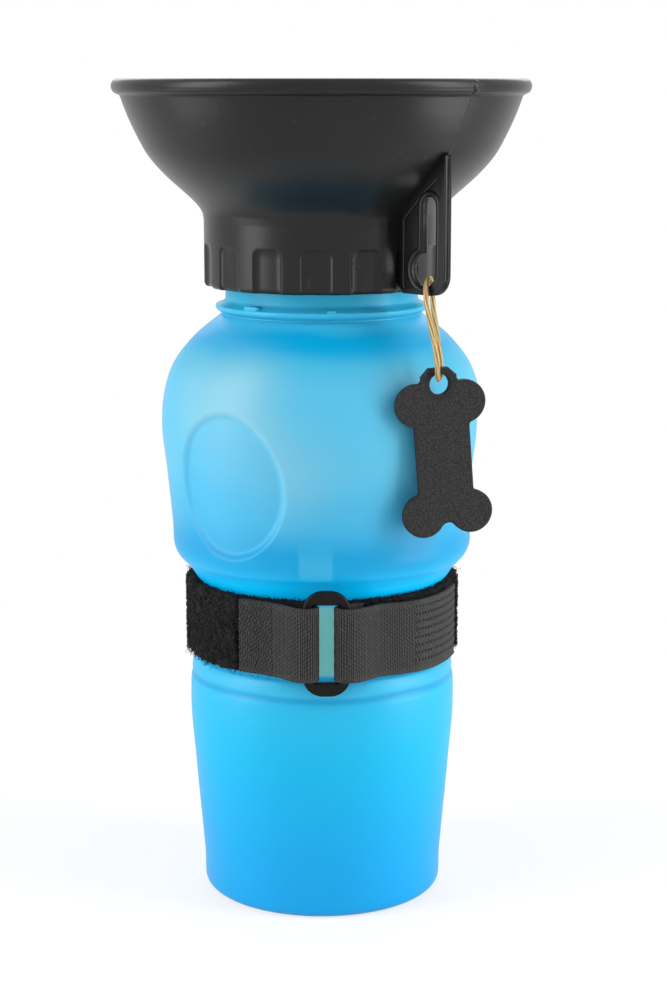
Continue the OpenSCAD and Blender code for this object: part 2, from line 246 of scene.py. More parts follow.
# %% A socket that takes part in sums
class Socket:
    """One output of a shader node, usable in sums with numbers and other outputs."""

    def __init__(self, out):
        self.out = out
        self.tree = out.id_data

    def math(self, operation, *others, first=None):
        node = self.tree.nodes.new("ShaderNodeMath")
        node.operation = operation
        values = (self, *others) if first is None else (first, self)
        for place, value in zip(node.inputs, values):
            feed(place, value)
        return Socket(node.outputs[0])

    def __add__(self, other): return self.math("ADD", other)
    def __radd__(self, other): return self.math("ADD", other)
    def __sub__(self, other): return self.math("SUBTRACT", other)
    def __rsub__(self, other): return self.math("SUBTRACT", first=other)
    def __mul__(self, other): return self.math("MULTIPLY", other)
    def __rmul__(self, other): return self.math("MULTIPLY", other)
    def __truediv__(self, other): return self.math("DIVIDE", other)
    def __rtruediv__(self, other): return self.math("DIVIDE", first=other)
    def __pow__(self, other): return self.math("POWER", other)
    def __neg__(self): return self.math("MULTIPLY", -1.0)
    def __abs__(self): return self.math("ABSOLUTE")

    def sine(self): return self.math("SINE")
    def least(self, other): return self.math("MINIMUM", other)
    def most(self, other): return self.math("MAXIMUM", other)


def feed(place, value):
    """Links a Socket to an input, or writes a plain value there."""
    if isinstance(value, Socket):
        value.tree.links.new(value.out, place)
    elif place.type == "RGBA" and len(value) == 3:
        place.default_value = (*value, 1)
    else:
        place.default_value = value


class Finish:
    """A material that is being written, with its coordinates in metres in the frame."""

    def __init__(self, name):
        self.material = bpy.data.materials.new(name)
        self.material.use_nodes = True
        self.tree = self.material.node_tree
        self.tree.nodes.clear()
        self.end = self.tree.nodes.new("ShaderNodeOutputMaterial")
        self.place = self.make("ShaderNodeTexCoord")["Object"]

    def make(self, kind, settings=None, **values):
        """Any node: its settings are set first, then its sockets. A space in a name is written _."""
        node = self.tree.nodes.new(kind)
        for name, value in (settings or {}).items():
            if name == "stops":
                ramp = node.color_ramp.elements
                while len(ramp) < len(value):
                    ramp.new(0.5)
                for stop, (at, colour) in zip(ramp, value):
                    stop.position = at
                    stop.color = (*colour, 1) if len(colour) == 3 else colour
            else:
                setattr(node, name, value)
        for name, value in values.items():
            found = [s for s in node.inputs if s.name == name.replace("_", " ") and s.enabled]
            for place, one in zip(found, value if isinstance(value, list) else [value]):
                feed(place, one)
        return {s.name: Socket(s) for s in node.outputs if s.enabled}

    def noise(self, size, detail=3.0, roughness=0.5, place=None):
        """Noise whose features are about size metres across, from 0 to 1."""
        return self.make("ShaderNodeTexNoise", Vector=place or self.place, Scale=1 / size,
                         Detail=detail, Roughness=roughness)["Fac"]

    def cells(self, size, place=None, feature="F1"):
        """Distance in cells of about size metres."""
        return self.make("ShaderNodeTexVoronoi", {"feature": feature},
                         Vector=place or self.place, Scale=1 / size)["Distance"]

    def away(self, centre):
        """How far the surface is from a point, in metres."""
        return self.make("ShaderNodeVectorMath", {"operation": "DISTANCE"},
                         Vector=[self.place, centre])["Value"]

    def noted(self, name):
        """A number that is kept on the mesh."""
        return self.make("ShaderNodeAttribute", {"attribute_name": name})["Fac"]

    def step(self, value, low, high):
        """0 below low, 1 above high, and a soft step between them."""
        return self.make("ShaderNodeMapRange", {"interpolation_type": "SMOOTHSTEP"}, Value=value,
                         From_Min=low, From_Max=high)["Result"]

    def blend(self, share, first, second):
        """A colour between two colours."""
        node = self.tree.nodes.new("ShaderNodeMix")
        node.data_type = "RGBA"
        feed(node.inputs["Factor"], share)
        feed(node.inputs[6], first)
        feed(node.inputs[7], second)
        return Socket(node.outputs[2])

    def parts(self):
        """The three numbers of a place."""
        out = self.make("ShaderNodeSeparateXYZ", Vector=self.place)
        return out["X"], out["Y"], out["Z"]

    def bump(self, height, distance, strength):
        """A normal tilted by a height from 0 to 1, times a distance in metres."""
        return self.make("ShaderNodeBump", Height=height, Distance=distance, Strength=strength)["Normal"]

    def surface(self, **values):
        """Closes the material with a Principled shader and gives it back."""
        feed(self.end.inputs["Surface"], self.make("ShaderNodeBsdfPrincipled", **values)["BSDF"])
        return self.material


print("shader sums are ready")

# %% [markdown]
# ## The cord, from the fin to the tag
#
# The tag hangs on a thin gold elastic, tied behind the fin. It comes through the
# keyhole, arches over the bar, runs down to the tag's hole and comes back up to its
# knot. A free cord keeps its real length and never bends tighter than about two
# diameters, so both arches are half circles of that size. Between them the cord
# hangs slack, a curve that leaves each arch upright.

# %% Route of the cord
FIN_AZIMUTH = 42
CORD_DIAMETER = 1.3
KNOT_RADIUS, KNOT_GAP = 1.3, 0.1
BAR, BAR_SPAN = Vector((38.9, 0.05, 159.9)), Vector((-1.3, 2.35))
UNDER_LUG, LUG_SPAN = Vector((28.3, -36, 141.65)), Vector((0.5, 2.57))


def beside(azimuth, radius, aside, z):
    """A place in mm: out along an azimuth, then aside from that line."""
    a = math.radians(azimuth)
    return Vector((radius * math.sin(a) + aside * math.cos(a),
                   -radius * math.cos(a) + aside * math.sin(a), z))


def over_bar(degrees):
    """A point of the arch over the fin's bar, from its rear leg at 0."""
    a = math.radians(degrees)
    return beside(FIN_AZIMUTH, BAR.x + BAR_SPAN.x * math.cos(a), BAR.y + BAR_SPAN.y * math.cos(a),
                  BAR.z + BAR_SPAN.length * math.sin(a))


def under_lug(degrees):
    """A point of the arch through the tag's hole, from its front leg at 0."""
    a = math.radians(degrees)
    return UNDER_LUG - Vector((LUG_SPAN.x * math.cos(a), LUG_SPAN.y * math.cos(a),
                               LUG_SPAN.length * math.sin(a)))


def slack(a, b, lead, steps):
    """The inner points of a slack run, upright where it leaves a and where it meets b."""
    pull = Vector((0, 0, lead))
    return [(1 - t) ** 3 * a + 3 * (1 - t) ** 2 * t * (a + pull) + 3 * (1 - t) * t * t * (b - pull)
            + t ** 3 * b for t in [k / steps for k in range(1, steps)]]


arch_start = over_bar(30)
knot_centre = arch_start + (KNOT_RADIUS + KNOT_GAP) * (over_bar(29) - arch_start).normalized()
cord_end = knot_centre - Vector((0, 0, KNOT_RADIUS + KNOT_GAP))
route = [over_bar(a) for a in range(30, 181, 10)] + slack(over_bar(180), under_lug(0), -5, 40)
route += [under_lug(a) for a in range(0, 181, 10)] + slack(under_lug(180), cord_end, 5, 36) + [cord_end]
cord_path = [MM * p for p in route]
cord_length = sum((b - a).length for a, b in zip(cord_path, cord_path[1:]))
print("the cord is", round(1000 * cord_length, 1), "mm long")

# %% [markdown]
# The cord is a bundle of fine threads that run almost straight along it, with a turn
# only every few centimetres. Drawing the threads as ridges of one tube keeps the
# surface closed and cheap. `tube_grid` carries a ring of points along a path without
# letting it spin, and lets the radius change with the angle and the distance, which
# is all that a twist needs. How deep each point lies is kept on the mesh as an
# attribute, so the finish can paint shade into the grooves.

# %% Tubes along a path
def carried_frames(path):
    """Two directions across the path at each point, carried along without spin."""
    frames = []
    side = None
    for i, p in enumerate(path):
        ahead = (path[min(i + 1, len(path) - 1)] - path[max(i - 1, 0)]).normalized()
        if side is None:
            side = ahead.orthogonal().normalized()
        side = (side - side.dot(ahead) * ahead).normalized()
        frames.append((side, ahead.cross(side)))
    return frames


def tube_grid(path, sides, radius):
    """A grid round a path. radius(angle, distance) gives its radius in metres."""
    frames = carried_frames(path)
    rows = []
    distance = 0
    angles = [2 * math.pi * k / sides for k in range(sides)]
    for i, (p, (u, v)) in enumerate(zip(path, frames)):
        distance += (p - path[i - 1]).length if i else 0
        rows.append([p + radius(a, distance) * (math.cos(a) * u + math.sin(a) * v)
                     for a in angles])
    return np.array(rows)


def close_ends(obj, rows, sides):
    """Closes the two open ends of a tube with a fan of faces each."""
    bm = bmesh.new()
    bm.from_mesh(obj.data)
    bm.verts.ensure_lookup_table()
    bm.faces.new([bm.verts[k] for k in range(sides)])
    bm.faces.new([bm.verts[(rows - 1) * sides + k] for k in range(sides)][::-1])
    bmesh.ops.recalc_face_normals(bm, faces=bm.faces)
    bm.to_mesh(obj.data)
    bm.free()


def note(obj, name, values):
    """Keeps one number for each point of a mesh, for the finish to read."""
    attribute = obj.data.attributes.new(name, "FLOAT", "POINT")
    attribute.data.foreach_set("value", np.asarray(values, np.float32).ravel())


STRANDS, LAY = 5, 0.034


def strand_depth(angle, distance):
    """0 in the grooves between the threads and 1 on their crowns."""
    return abs(math.cos(0.5 * (STRANDS * angle + 2 * math.pi * STRANDS * distance / LAY)))


CORD_RADIUS = MM * CORD_DIAMETER / 2
cord_line = resampled(cord_path, 0.00022)
cord_sides = 30
cord_grid = tube_grid(cord_line, cord_sides,
                      lambda a, d: CORD_RADIUS * (0.90 + 0.10 * strand_depth(a, d) ** 0.7))
cord = grid_piece("elastic_cord", cord_grid, close_rows=False)
close_ends(cord, len(cord_line), cord_sides)
cord_distances = np.cumsum([0] + [(b - a).length for a, b in zip(cord_line, cord_line[1:])])
note(cord, "crown", [[strand_depth(2 * math.pi * k / cord_sides, d) for k in range(cord_sides)]
                     for d in cord_distances])
report(cord)

# %% [markdown]
# The knot behind the fin is an overhand knot pulled tight. From every side it reads
# as a ball of crossing turns, so it is wound as one closed curve with two and three
# lobes, a trefoil, shrunk until its turns touch.

# %% Knot
def trefoil(count, size):
    """A closed trefoil, pressed together until it is nearly a ball."""
    line = []
    for k in range(count):
        t = 2 * math.pi * k / count
        line.append(size * Vector((math.sin(t) + 1.5 * math.sin(2 * t),
                                   math.cos(t) - 1.5 * math.cos(2 * t), -1.7 * math.sin(3 * t))))
    return line


knot_line = [MM * (knot_centre + p) for p in trefoil(120, 0.30)]
knot_grid = tube_grid(knot_line + knot_line[:1], 12,
                      lambda a, d: MM * (0.50 + 0.08 * strand_depth(a, d)))
knot = grid_piece("elastic_knot", knot_grid[:-1])
note(knot, "crown", np.full(len(knot.data.vertices), 0.8))
report(knot)

# %% [markdown]
# The elastic is a metallic gold yarn: gold where the threads stand up, with painted
# shade that turns it brown in the grooves. The yarn's own fibres are far finer than a
# thread, so they are left to a fine noise.

# %% Gold yarn
yarn = Finish("gold_yarn")
crown = yarn.noted("crown")
fibre = yarn.noise(0.00035, detail=4)
patch = yarn.noise(0.004, detail=2)
# Painted shade: the colour turns dark brown in the grooves between the threads and stays gold on their
# crowns.
tone = yarn.step(crown + (fibre - 0.5) * 0.6, 0.0, 0.9)
gold = yarn.blend(tone, (0.085, 0.052, 0.018), (0.47, 0.32, 0.12))
gold = yarn.blend(yarn.step(patch, 0.45, 0.75) * 0.35, gold, (0.66, 0.50, 0.26))
yarn.surface(Base_Color=gold, Metallic=yarn.step(tone, 0.3, 1.0) * 0.35,
             Roughness=0.40 + (1 - tone) * 0.35, Normal=yarn.bump(fibre, 0.00008, 0.6))
finish_piece(cord, None, yarn.material, ["tag_cord"])
finish_piece(knot, "bowl", yarn.material, ["cord_knot"])
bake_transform(cord)
tuple(cord_path[0])
[tuple(p) for p in cord_line]

# %% [markdown]
# ## The bottle
#
# The bottle is blow-moulded from soft translucent plastic: a foot, a waist that holds
# the strap, a round upper body to squeeze, and a threaded neck. Three oval panels are
# sunk into the upper body as finger grips. All of it could be one turned section, but
# the panels don't run round the axis, so the section is turned into a fine grid and
# the points inside each oval are moved inwards by a soft step. A flat band cuts off
# the upper body's lower edge, and its two sides show as lines.

# %% Outline of the bottle
WAIST = 31.8
WALL = 1.2
foot = smooth_line([(0, 3.4), (14, 3.1), (22, 1.9), (25.6, 0.3), (26.4, 0)], 6)
heel = arc((28, 3), 3, 270, 355, 14)
lower_body = smooth_line([(31.1, 8.7), (31.7, 16), (32.6, 26), (33.4, 36), (34.3, 47), (34.3, 56),
                          (33.75, 60.5), (33.2, 62.4), (32.3, 63.3), (WAIST, 64.1)], 8)
shoulder = smooth_line([(37.3, 89.8), (38.3, 92.5), (38.6, 98.5), (39.9, 112), (41, 122), (40.4, 131),
                        (37.9, 138.7), (32.8, 145.3), (27.0, 150.2), (25.3, 151.5)], 14)
upper_body = resampled([Vector(p) for p in ((WAIST, 83.4), (32.0, 83.8), (32.7, 84.1), (34.28, 86.52),
                                            (34.62, 86.93), (37.1, 89.55), (37.42, 90.1))], 0.6)
upper_body += [p for p in shoulder if p.y > 90.4]
bead = smooth_line([
    (25.4, 151.9), (26.5, 152.4), (26.93, 152.9), (27, 153.3), (26.85, 153.75), (26.3, 153.97),
    (25.4, 154.35), (24.7, 154.9), (24.5, 155.4)], 5)
neck = resampled([Vector((24.5, 155.5)), Vector((24.5, 170.2))], 0.25)
neck += arc((23.9, 170.4), 0.6, 0, 90, 6)
outer = foot + heel + lower_body + upper_body + bead + neck
print(len(outer), "points in the outer outline")

# %% [markdown]
# The thread on the neck is a ridge that climbs 3 mm a turn. A point's place on the
# thread is its height less the climb at its azimuth, so one soft bump of that number
# draws the whole helix. The same number serves the thread inside the bowl's collar,
# which lies in the gaps of this one and still does after any turn.

# %% Thread and grip panels
THREAD_CLIMB = 3.0
PANEL_WIDTH, PANEL_HEIGHT, PANEL_DEPTH = 32.0, 37.0, 1.2
PANEL_Z = 112.0
PANEL_AZIMUTHS = (-36, 84, 204)
THREAD_LOW, THREAD_HIGH, THREAD_RISE = 161.0, 168.8, 1.6
CREASE_Z, SWELL_Z = 58.2, 61.0


def thread_ridge(azimuth, z, low, high, lag=0.0):
    """1 on the crest of the thread and 0 beside it, faded out at its two ends."""
    place = (z - THREAD_CLIMB * azimuth / 360 + lag) / THREAD_CLIMB
    off = np.abs(place - np.round(place)) * THREAD_CLIMB
    ends = ease(low, low + 0.9, z) * (1 - ease(high - 0.9, high, z))
    return (1 - ease(0.25, 0.85, off)) * ends


def panel_depth(azimuth, radius, z):
    """How far the wall is sunk at a place, in mm."""
    depth = np.zeros_like(radius)
    for middle in PANEL_AZIMUTHS:
        turn = np.radians((azimuth - middle + 180) % 360 - 180)
        across = radius * np.sin(turn)
        reach = np.sqrt((across / (PANEL_WIDTH / 2)) ** 2
                        + ((z - PANEL_Z) / (PANEL_HEIGHT / 2)) ** 2)
        inside = (1 - reach) * PANEL_WIDTH / 2
        depth += np.where(np.abs(turn) < 1.2, PANEL_DEPTH * ease(-0.2, 1.5, inside), 0)
    return depth


def bottle_radius(azimuth, radius, z):
    """The turned radius, changed by the panels, the lower crease and the thread."""
    radius = radius - panel_depth(azimuth, radius, z)
    radius = radius - 0.30 * np.exp(-((z - CREASE_Z) / 0.8) ** 2) + 0.12 * np.exp(-((z - SWELL_Z) / 1.4) ** 2)
    on_neck = (z > 155) & (radius > 24)
    return radius + THREAD_RISE * np.where(on_neck, thread_ridge(azimuth, z, THREAD_LOW, THREAD_HIGH), 0)


inner = shifted([p for p in outer if p.y < 150.5], WALL)
inner = [Vector((max(p.x, 0), p.y)) for p in inner if p.x > -0.2]
inner_neck = [Vector(p) for p in ((22.9, 152), (22.9, 160), (22.9, 168), (22.9, 170.4), (23.3, 171))]
bottle_section = outer + list(reversed(inner_neck)) + list(reversed(inner))
bottle_grid = turned_grid(bottle_section, 400, bottle_radius)
bottle = clean(grid_piece("bottle_shell", bottle_grid, close_rows=False))
spots = np.array([v.co for v in bottle.data.vertices]) / MM
spot_azimuth = np.degrees(np.arctan2(spots[:, 0], -spots[:, 1]))
spot_radius = np.hypot(spots[:, 0], spots[:, 1])
note(bottle, "sunk", panel_depth(spot_azimuth, spot_radius, spots[:, 2]) / PANEL_DEPTH)
report(bottle)

# %% [markdown]
# Two small stops stand on the bead under the collar, a broad one and a mere tick.
# Each is a rounded tab, bent to the neck: a little grid again, in azimuth and height.

# %% Stops on the bead
def curved_block(name, azimuth, width, radii, heights, soften=0.25):
    """A block between two radii and two heights, bent round the axis, with soft edges."""
    steps = 12
    corners = []
    middle = (radii[0] + radii[1]) / 2
    half = math.degrees(width / 2 / middle)
    profile = arc((radii[1] - soften, heights[1] - soften), soften, 0, 90, 4)
    low = Vector((radii[0], heights[0]))
    profile = [Vector((radii[1], heights[0]))] + profile + [Vector((radii[0], heights[1])), low]
    for k in range(steps + 1):
        edge = abs(2 * k / steps - 1)
        shrink = 1 - 0.22 * max(0, edge - 0.75) / 0.25
        for p in profile:
            q = low + shrink * (p - low)
            corners.append(MM * around(azimuth - half + 2 * half * k / steps, q.x, q.y))
    grid = np.array(corners).reshape(steps + 1, len(profile), 3)
    obj = grid_piece(name, grid, close_rows=False)
    close_ends(obj, steps + 1, len(profile))
    return obj


stop = curved_block("bead_stop", -41, 5, (24.2, 26.85), (153.4, 154.85))
tick = curved_block("bead_tick", 5.6, 2.4, (24.2, 26.8), (153.4, 154.4), soften=0.15)
report(stop)
report(tick)

# %% [markdown]
# Soft translucent plastic lets some light through and some bounce about inside it, and
# its skin is slightly matt from the mould. So the finish mixes an ordinary plastic
# with a translucent one, in one share all over. What shines through is one even blue,
# but the blue of the skin isn't. A ramp over the height sets most of it: a milky,
# paler band round the upper body is painted reflection, and a deeper blue under the
# neck and towards the waist is painted shade. The foot and the grip panels are a
# deeper blue too. Two soft patches of painted highlight make the upper body paler at
# the front left, faint streaks run up the wall where the plastic stretched, and a
# paler upright strip of painted reflection lies over the ring. Painted shade makes
# the lines of the two creases a shade deeper.
#
# Light that enters the wall elsewhere travels along in it and comes out again at the
# waist, where the strap keeps the light from outside off. A faint painted glow of the
# plastic's own colour stands for it there, so that the window in the ring and the
# crease above the band aren't dark. Behind the window the wall is painted a greyer green as shade.

# %% Blue over the height
RING_AZIMUTH, PALE_AZIMUTH = 2, -2
TOP = 170
blue = Finish("blue_plastic")
x, y, height = blue.parts()
streaks = blue.make("ShaderNodeMapping", Vector=blue.place, Scale=(1, 1, 0.12))["Vector"]
streak = blue.noise(0.012, detail=2, place=streaks)
cloud = blue.noise(0.03, detail=2)
# The ramp paints reflection and shade: paler on the upper body, deeper under the neck and towards the waist.
blues = [(0, (0.0, 0.42, 0.84)), (16, (0.0, 0.45, 0.86)), (42, (0.0, 0.54, 0.86)),
         (56, (0.02, 0.55, 0.84)), (62, (0.05, 0.54, 0.80)), (84, (0.0, 0.46, 0.76)),
         (90, (0.0, 0.42, 0.74)), (96, (0.0, 0.38, 0.70)), (103, (0.06, 0.50, 0.78)),
         (116, (0.12, 0.58, 0.80)), (137, (0.11, 0.57, 0.79)), (142, (0.07, 0.55, 0.78)),
         (145.5, (0.0, 0.45, 0.79)), (148.5, (0.0, 0.45, 0.80)), (150.5, (0.05, 0.54, 0.81)),
         (153, (0.05, 0.54, 0.80)), (157, (0.03, 0.52, 0.78))]
wall_z = (height * 1000 + (cloud - 0.5) * 3.5 + (streak - 0.5) * 2) / TOP
tint = blue.make("ShaderNodeValToRGB", {"stops": [(z / TOP, c) for z, c in blues]}, Fac=wall_z)["Color"]
print(len(blues), "blues from the foot to the neck")

# %% Painted highlights, painted shade at the creases and behind the window
PAINTED_HIGHLIGHTS = [((-0.027, -0.034, 0.131), 0.004, 0.026, 0.55, (0.36, 0.66, 0.70)),
        ((-0.010, -0.040, 0.116), 0.002, 0.020, 0.35, (0.34, 0.66, 0.74))]
PAINTED_CREASE_SHADES = [(MM * CREASE_Z, 0.0013), (0.0885, 0.0007)]
turned = blue.make("ShaderNodeMath", {"operation": "ARCTAN2"}, Value=[x, -y])["Value"]


def upright_strip(azimuth, full, gone):
    """1 near an azimuth and 0 past some degrees from it."""
    return 1 - blue.step(abs(turned - math.radians(azimuth)), math.radians(full), math.radians(gone))


def between(low, lower, upper, high):
    """1 between two heights, with a soft edge below and above."""
    return blue.step(height, low, lower) * (1 - blue.step(height, upper, high))


# Painted reflection: a paler upright strip on the wall over the ring.
painted_reflection_strip = upright_strip(PALE_AZIMUTH, 5.7, 6.5) * between(0.0892, 0.0898, 0.093, 0.101)
tint = blue.blend(painted_reflection_strip * 0.8, tint, (0.05, 0.50, 0.78))
# Painted shade: the colour darkens along the two crease lines.
for crease_z, half in PAINTED_CREASE_SHADES:
    crease = 1 - blue.step(abs(height - crease_z), half * 0.2, half)
    tint = blue.blend(crease * 0.6, tint, (0.0, 0.33, 0.66))
# Painted shade: the wall seen through the ring's window is a greyer green, and its painted glow below is
# greener.
window_painted_light = upright_strip(RING_AZIMUTH, 5.5, 7) * between(0.0636, 0.0648, 0.0812, 0.0826)
tint = blue.blend(window_painted_light, tint, (0.14, 0.45, 0.45))
# Painted highlight: two soft pale patches at the front left of the upper body.
for centre, full, gone, share, colour in PAINTED_HIGHLIGHTS:
    patch = 1 - blue.step(blue.away(centre) + (cloud - 0.5) * 0.01, full, gone)
    tint = blue.blend(patch * share, tint, colour)
tint = blue.blend(blue.step(blue.noted("sunk"), 0.3, 1.0) * 0.5, tint, (0.06, 0.52, 0.80))
print(len(PAINTED_HIGHLIGHTS), "milky patches and", len(PAINTED_CREASE_SHADES), "creases")

# %% Blue plastic
THROUGH = (0.06, 0.51, 0.78)
skin = blue.noise(0.0011, detail=3)
relief = blue.bump(skin * 0.4 + streak, 0.00012, 0.35)
# Painted glow: a faint emission in the plastic's own colour round the waist, greener in the ring's window.
lit = blue.blend(between(0.060, 0.066, 0.0865, 0.093), (0, 0, 0), (0.0, 0.20, 0.34))
lit = blue.blend(window_painted_light, lit, (0.13, 0.355, 0.285))
plastic = blue.make("ShaderNodeBsdfPrincipled", Base_Color=tint, Roughness=0.30 + skin * 0.12, IOR=1.5,
                    Specular_IOR_Level=0.32, Emission_Color=lit, Emission_Strength=1.0,
                    Normal=relief)["BSDF"]
glow = blue.make("ShaderNodeBsdfTranslucent", Color=THROUGH, Normal=relief)["BSDF"]
feed(blue.end.inputs["Surface"], blue.make("ShaderNodeMixShader", Fac=0.3, Shader=[plastic, glow])["Shader"])
finish_piece(bottle, "bottle", blue.material, ["bottle"])
finish_piece(stop, "bottle", blue.material)
finish_piece(tick, "bottle", blue.material)
print("the bottle is blue")

# %% [markdown]
# ## The bowl
#
# The bowl and its screw collar are one moulding: a rolled rim, a curved wall, a collar
# with fluted grips, and inside a spout for the dip tube. It is turned like the bottle,
# with finer columns, because the flutes have crisp edges. A flute is flat in its
# middle and rises steeply at its sides, so its depth follows a quarter of an ellipse.

# %% Outline of the bowl
RIM_RADIUS, RIM_Z, RIM_ROLL = 52.5, 210.0, 1.6
COLLAR_RADIUS, COLLAR_Z = 29.8, 158.4
FLOOR_Z, FLOOR_THICK = 172.2, 2.6
FLUTES, FLUTE_WIDTH, FLUTE_DEPTH = 15, 7.9, 0.8
FLUTE_TOP, FLUTE_CORNER, FLUTE_START = 169.3, 2.1, -2.3
PARTING, PARTING_LEAN = 42.7, 1.2
SCAR_AZIMUTH, SCAR_Z = 44.2, 208.1
BOWL_WALL, ROLL_STRETCH = 2.2, 1.18
FLOOR_TOP = FLOOR_Z + FLOOR_THICK

bowl_wall = smooth_line([(50.4, 205.85), (48.6, 201), (46.3, 196), (43.5, 191), (39.2, 186.1),
                         (32.9, 180.4), (30.4, 177.4), (COLLAR_RADIUS, 175)], 10)
collar = resampled([bowl_wall[-1], Vector((COLLAR_RADIUS, COLLAR_Z + 1.2))], 0.28)[1:]
collar += arc((COLLAR_RADIUS - 1.2, COLLAR_Z + 1.2), 1.2, 0, -90, 6)[1:]
collar += [Vector((26.9, COLLAR_Z)), Vector((26.3, COLLAR_Z + 0.5))]
bore = resampled([Vector((26.15, COLLAR_Z + 0.8)), Vector((26.15, FLOOR_Z))], 0.28)
socket = [Vector(p) for p in ((26.15, FLOOR_Z), (15, FLOOR_Z), (6.6, FLOOR_Z), (6.4, FLOOR_Z - 0.3),
                              (6.4, 163.3), (6.1, 163), (4.3, 163), (4.05, 163.3), (4.05, 170.5),
                              (3, 170.5), (3, 178), (5.2, 178), (5.4, 177.8),
                              (5.4, FLOOR_TOP + 0.5), (5.9, FLOOR_TOP))]
inside = shifted(bowl_wall, -BOWL_WALL)
inside = [p for p in reversed(inside) if FLOOR_TOP + 1.2 < p.y < RIM_Z - 3.2]
floor = smooth_line([(5.9, FLOOR_TOP), (14, FLOOR_TOP), (24, FLOOR_TOP), (26.2, FLOOR_TOP + 0.2),
                     inside[0]], 5)
roll = arc((RIM_RADIUS - RIM_ROLL, RIM_Z - RIM_ROLL), RIM_ROLL, 205, -66, 26)
roll = [Vector((p.x, RIM_Z - ROLL_STRETCH * (RIM_Z - p.y))) for p in roll]
under_roll = smooth_line([roll[-1], (51.1, 206.2), bowl_wall[0]], 4)[1:-1]
bowl_section = bowl_wall + collar + bore + socket[1:] + floor[1:] + inside[1:] + roll + under_roll
print(len(bowl_section), "points in the bowl's section")

# %% [markdown]
# The same grid carries three more things: the mould's parting line, a hair of plastic
# that runs from the rim into the fin's edge, the rough scar on the rim's roll where
# the plastic came in and was cut off, and the thread inside the collar.

# %% Flutes, parting line, scar and inner thread
def flute_depth(azimuth, z):
    """How far a grip flute sinks the collar at a place, in mm."""
    pitch = 360 / FLUTES
    turn = np.radians((azimuth - FLUTE_START + pitch / 2) % pitch - pitch / 2)
    across = np.abs(turn) * COLLAR_RADIUS
    past_x = np.maximum(across - (FLUTE_WIDTH / 2 - FLUTE_CORNER), 0)
    past_z = np.maximum(z - (FLUTE_TOP - FLUTE_CORNER), 0)
    inside = FLUTE_CORNER - np.hypot(past_x, past_z)
    share = np.clip(inside / FLUTE_CORNER, 0, 1)
    return FLUTE_DEPTH * np.sqrt(1 - (1 - share) ** 2)


def bowl_radius(azimuth, radius, z):
    """The turned radius of the bowl with its flutes, marks and inner thread."""
    on_collar = (radius > 28.4) & (z < 175.5)
    radius = radius - np.where(on_collar, flute_depth(azimuth, z), 0)
    outside = (radius > 29) & (z < 207)
    lean = PARTING_LEAN * ease(188, 206, z)
    off_line = np.abs((azimuth - PARTING - lean + 90) % 180 - 90) * math.pi / 180 * radius
    radius = radius + np.where(outside & (z > 176), 0.12 * (1 - ease(0.05, 0.28, off_line)), 0)
    aside, up = (azimuth - SCAR_AZIMUTH) * math.pi / 180 * radius, z - SCAR_Z
    scar = 0.8 + 0.2 * np.sin(5 * aside + 3 * up) * np.cos(4 * up)
    spot = 0.42 * scar * (1 - ease(0.7, 1.05, np.hypot(aside / 1.15, up / 1.5)))
    nick = 0.35 * (1 - ease(0.2, 0.5, np.hypot(aside + 0.8, 0.7 * (up + 1.3))))
    radius = radius + np.where(radius > 51, spot - nick, 0)
    in_bore = (radius > 26) & (radius < 26.6) & (z < FLOOR_Z - 1)
    ridge = thread_ridge(azimuth, z, THREAD_LOW, 166.4, lag=THREAD_CLIMB / 2)
    return radius - np.where(in_bore, 1.4 * ridge, 0)


bowl = clean(grid_piece("bowl_shell", turned_grid(bowl_section, 900, bowl_radius)))
report(bowl)

# %% [markdown]
# The hanging fin is a flat plate that stands on the bowl like a buttress. A raised
# edge runs round it, a raised lip runs round its keyhole, and the web between them is
# thin. Each of the three is a flat outline with some thickness and a soft arris. A
# bevel modifier would do it, but it trips over outlines of many short edges, so
# `plate` steps the outline inwards itself along a quarter circle, and fills the two
# faces with triangles. The rims of the faces are marked sharp, which keeps them flat.

# %% Plates from flat outlines
def area(outline):
    """Area inside a closed outline, below zero if it runs clockwise."""
    return sum(p.x * q.y - q.x * p.y for p, q in zip(outline, outline[1:] + outline[:1])) / 2


def inset(outline, distance):
    """A closed outline moved to its left at every point."""
    moved = []
    for i, p in enumerate(outline):
        a = (p - outline[i - 1]).normalized()
        b = (outline[(i + 1) % len(outline)] - p).normalized()
        left = Vector((-a.y - b.y, a.x + b.x)).normalized()
        moved.append(p + distance * left / max(0.5, left.dot(Vector((-a.y, a.x)))))
    return moved


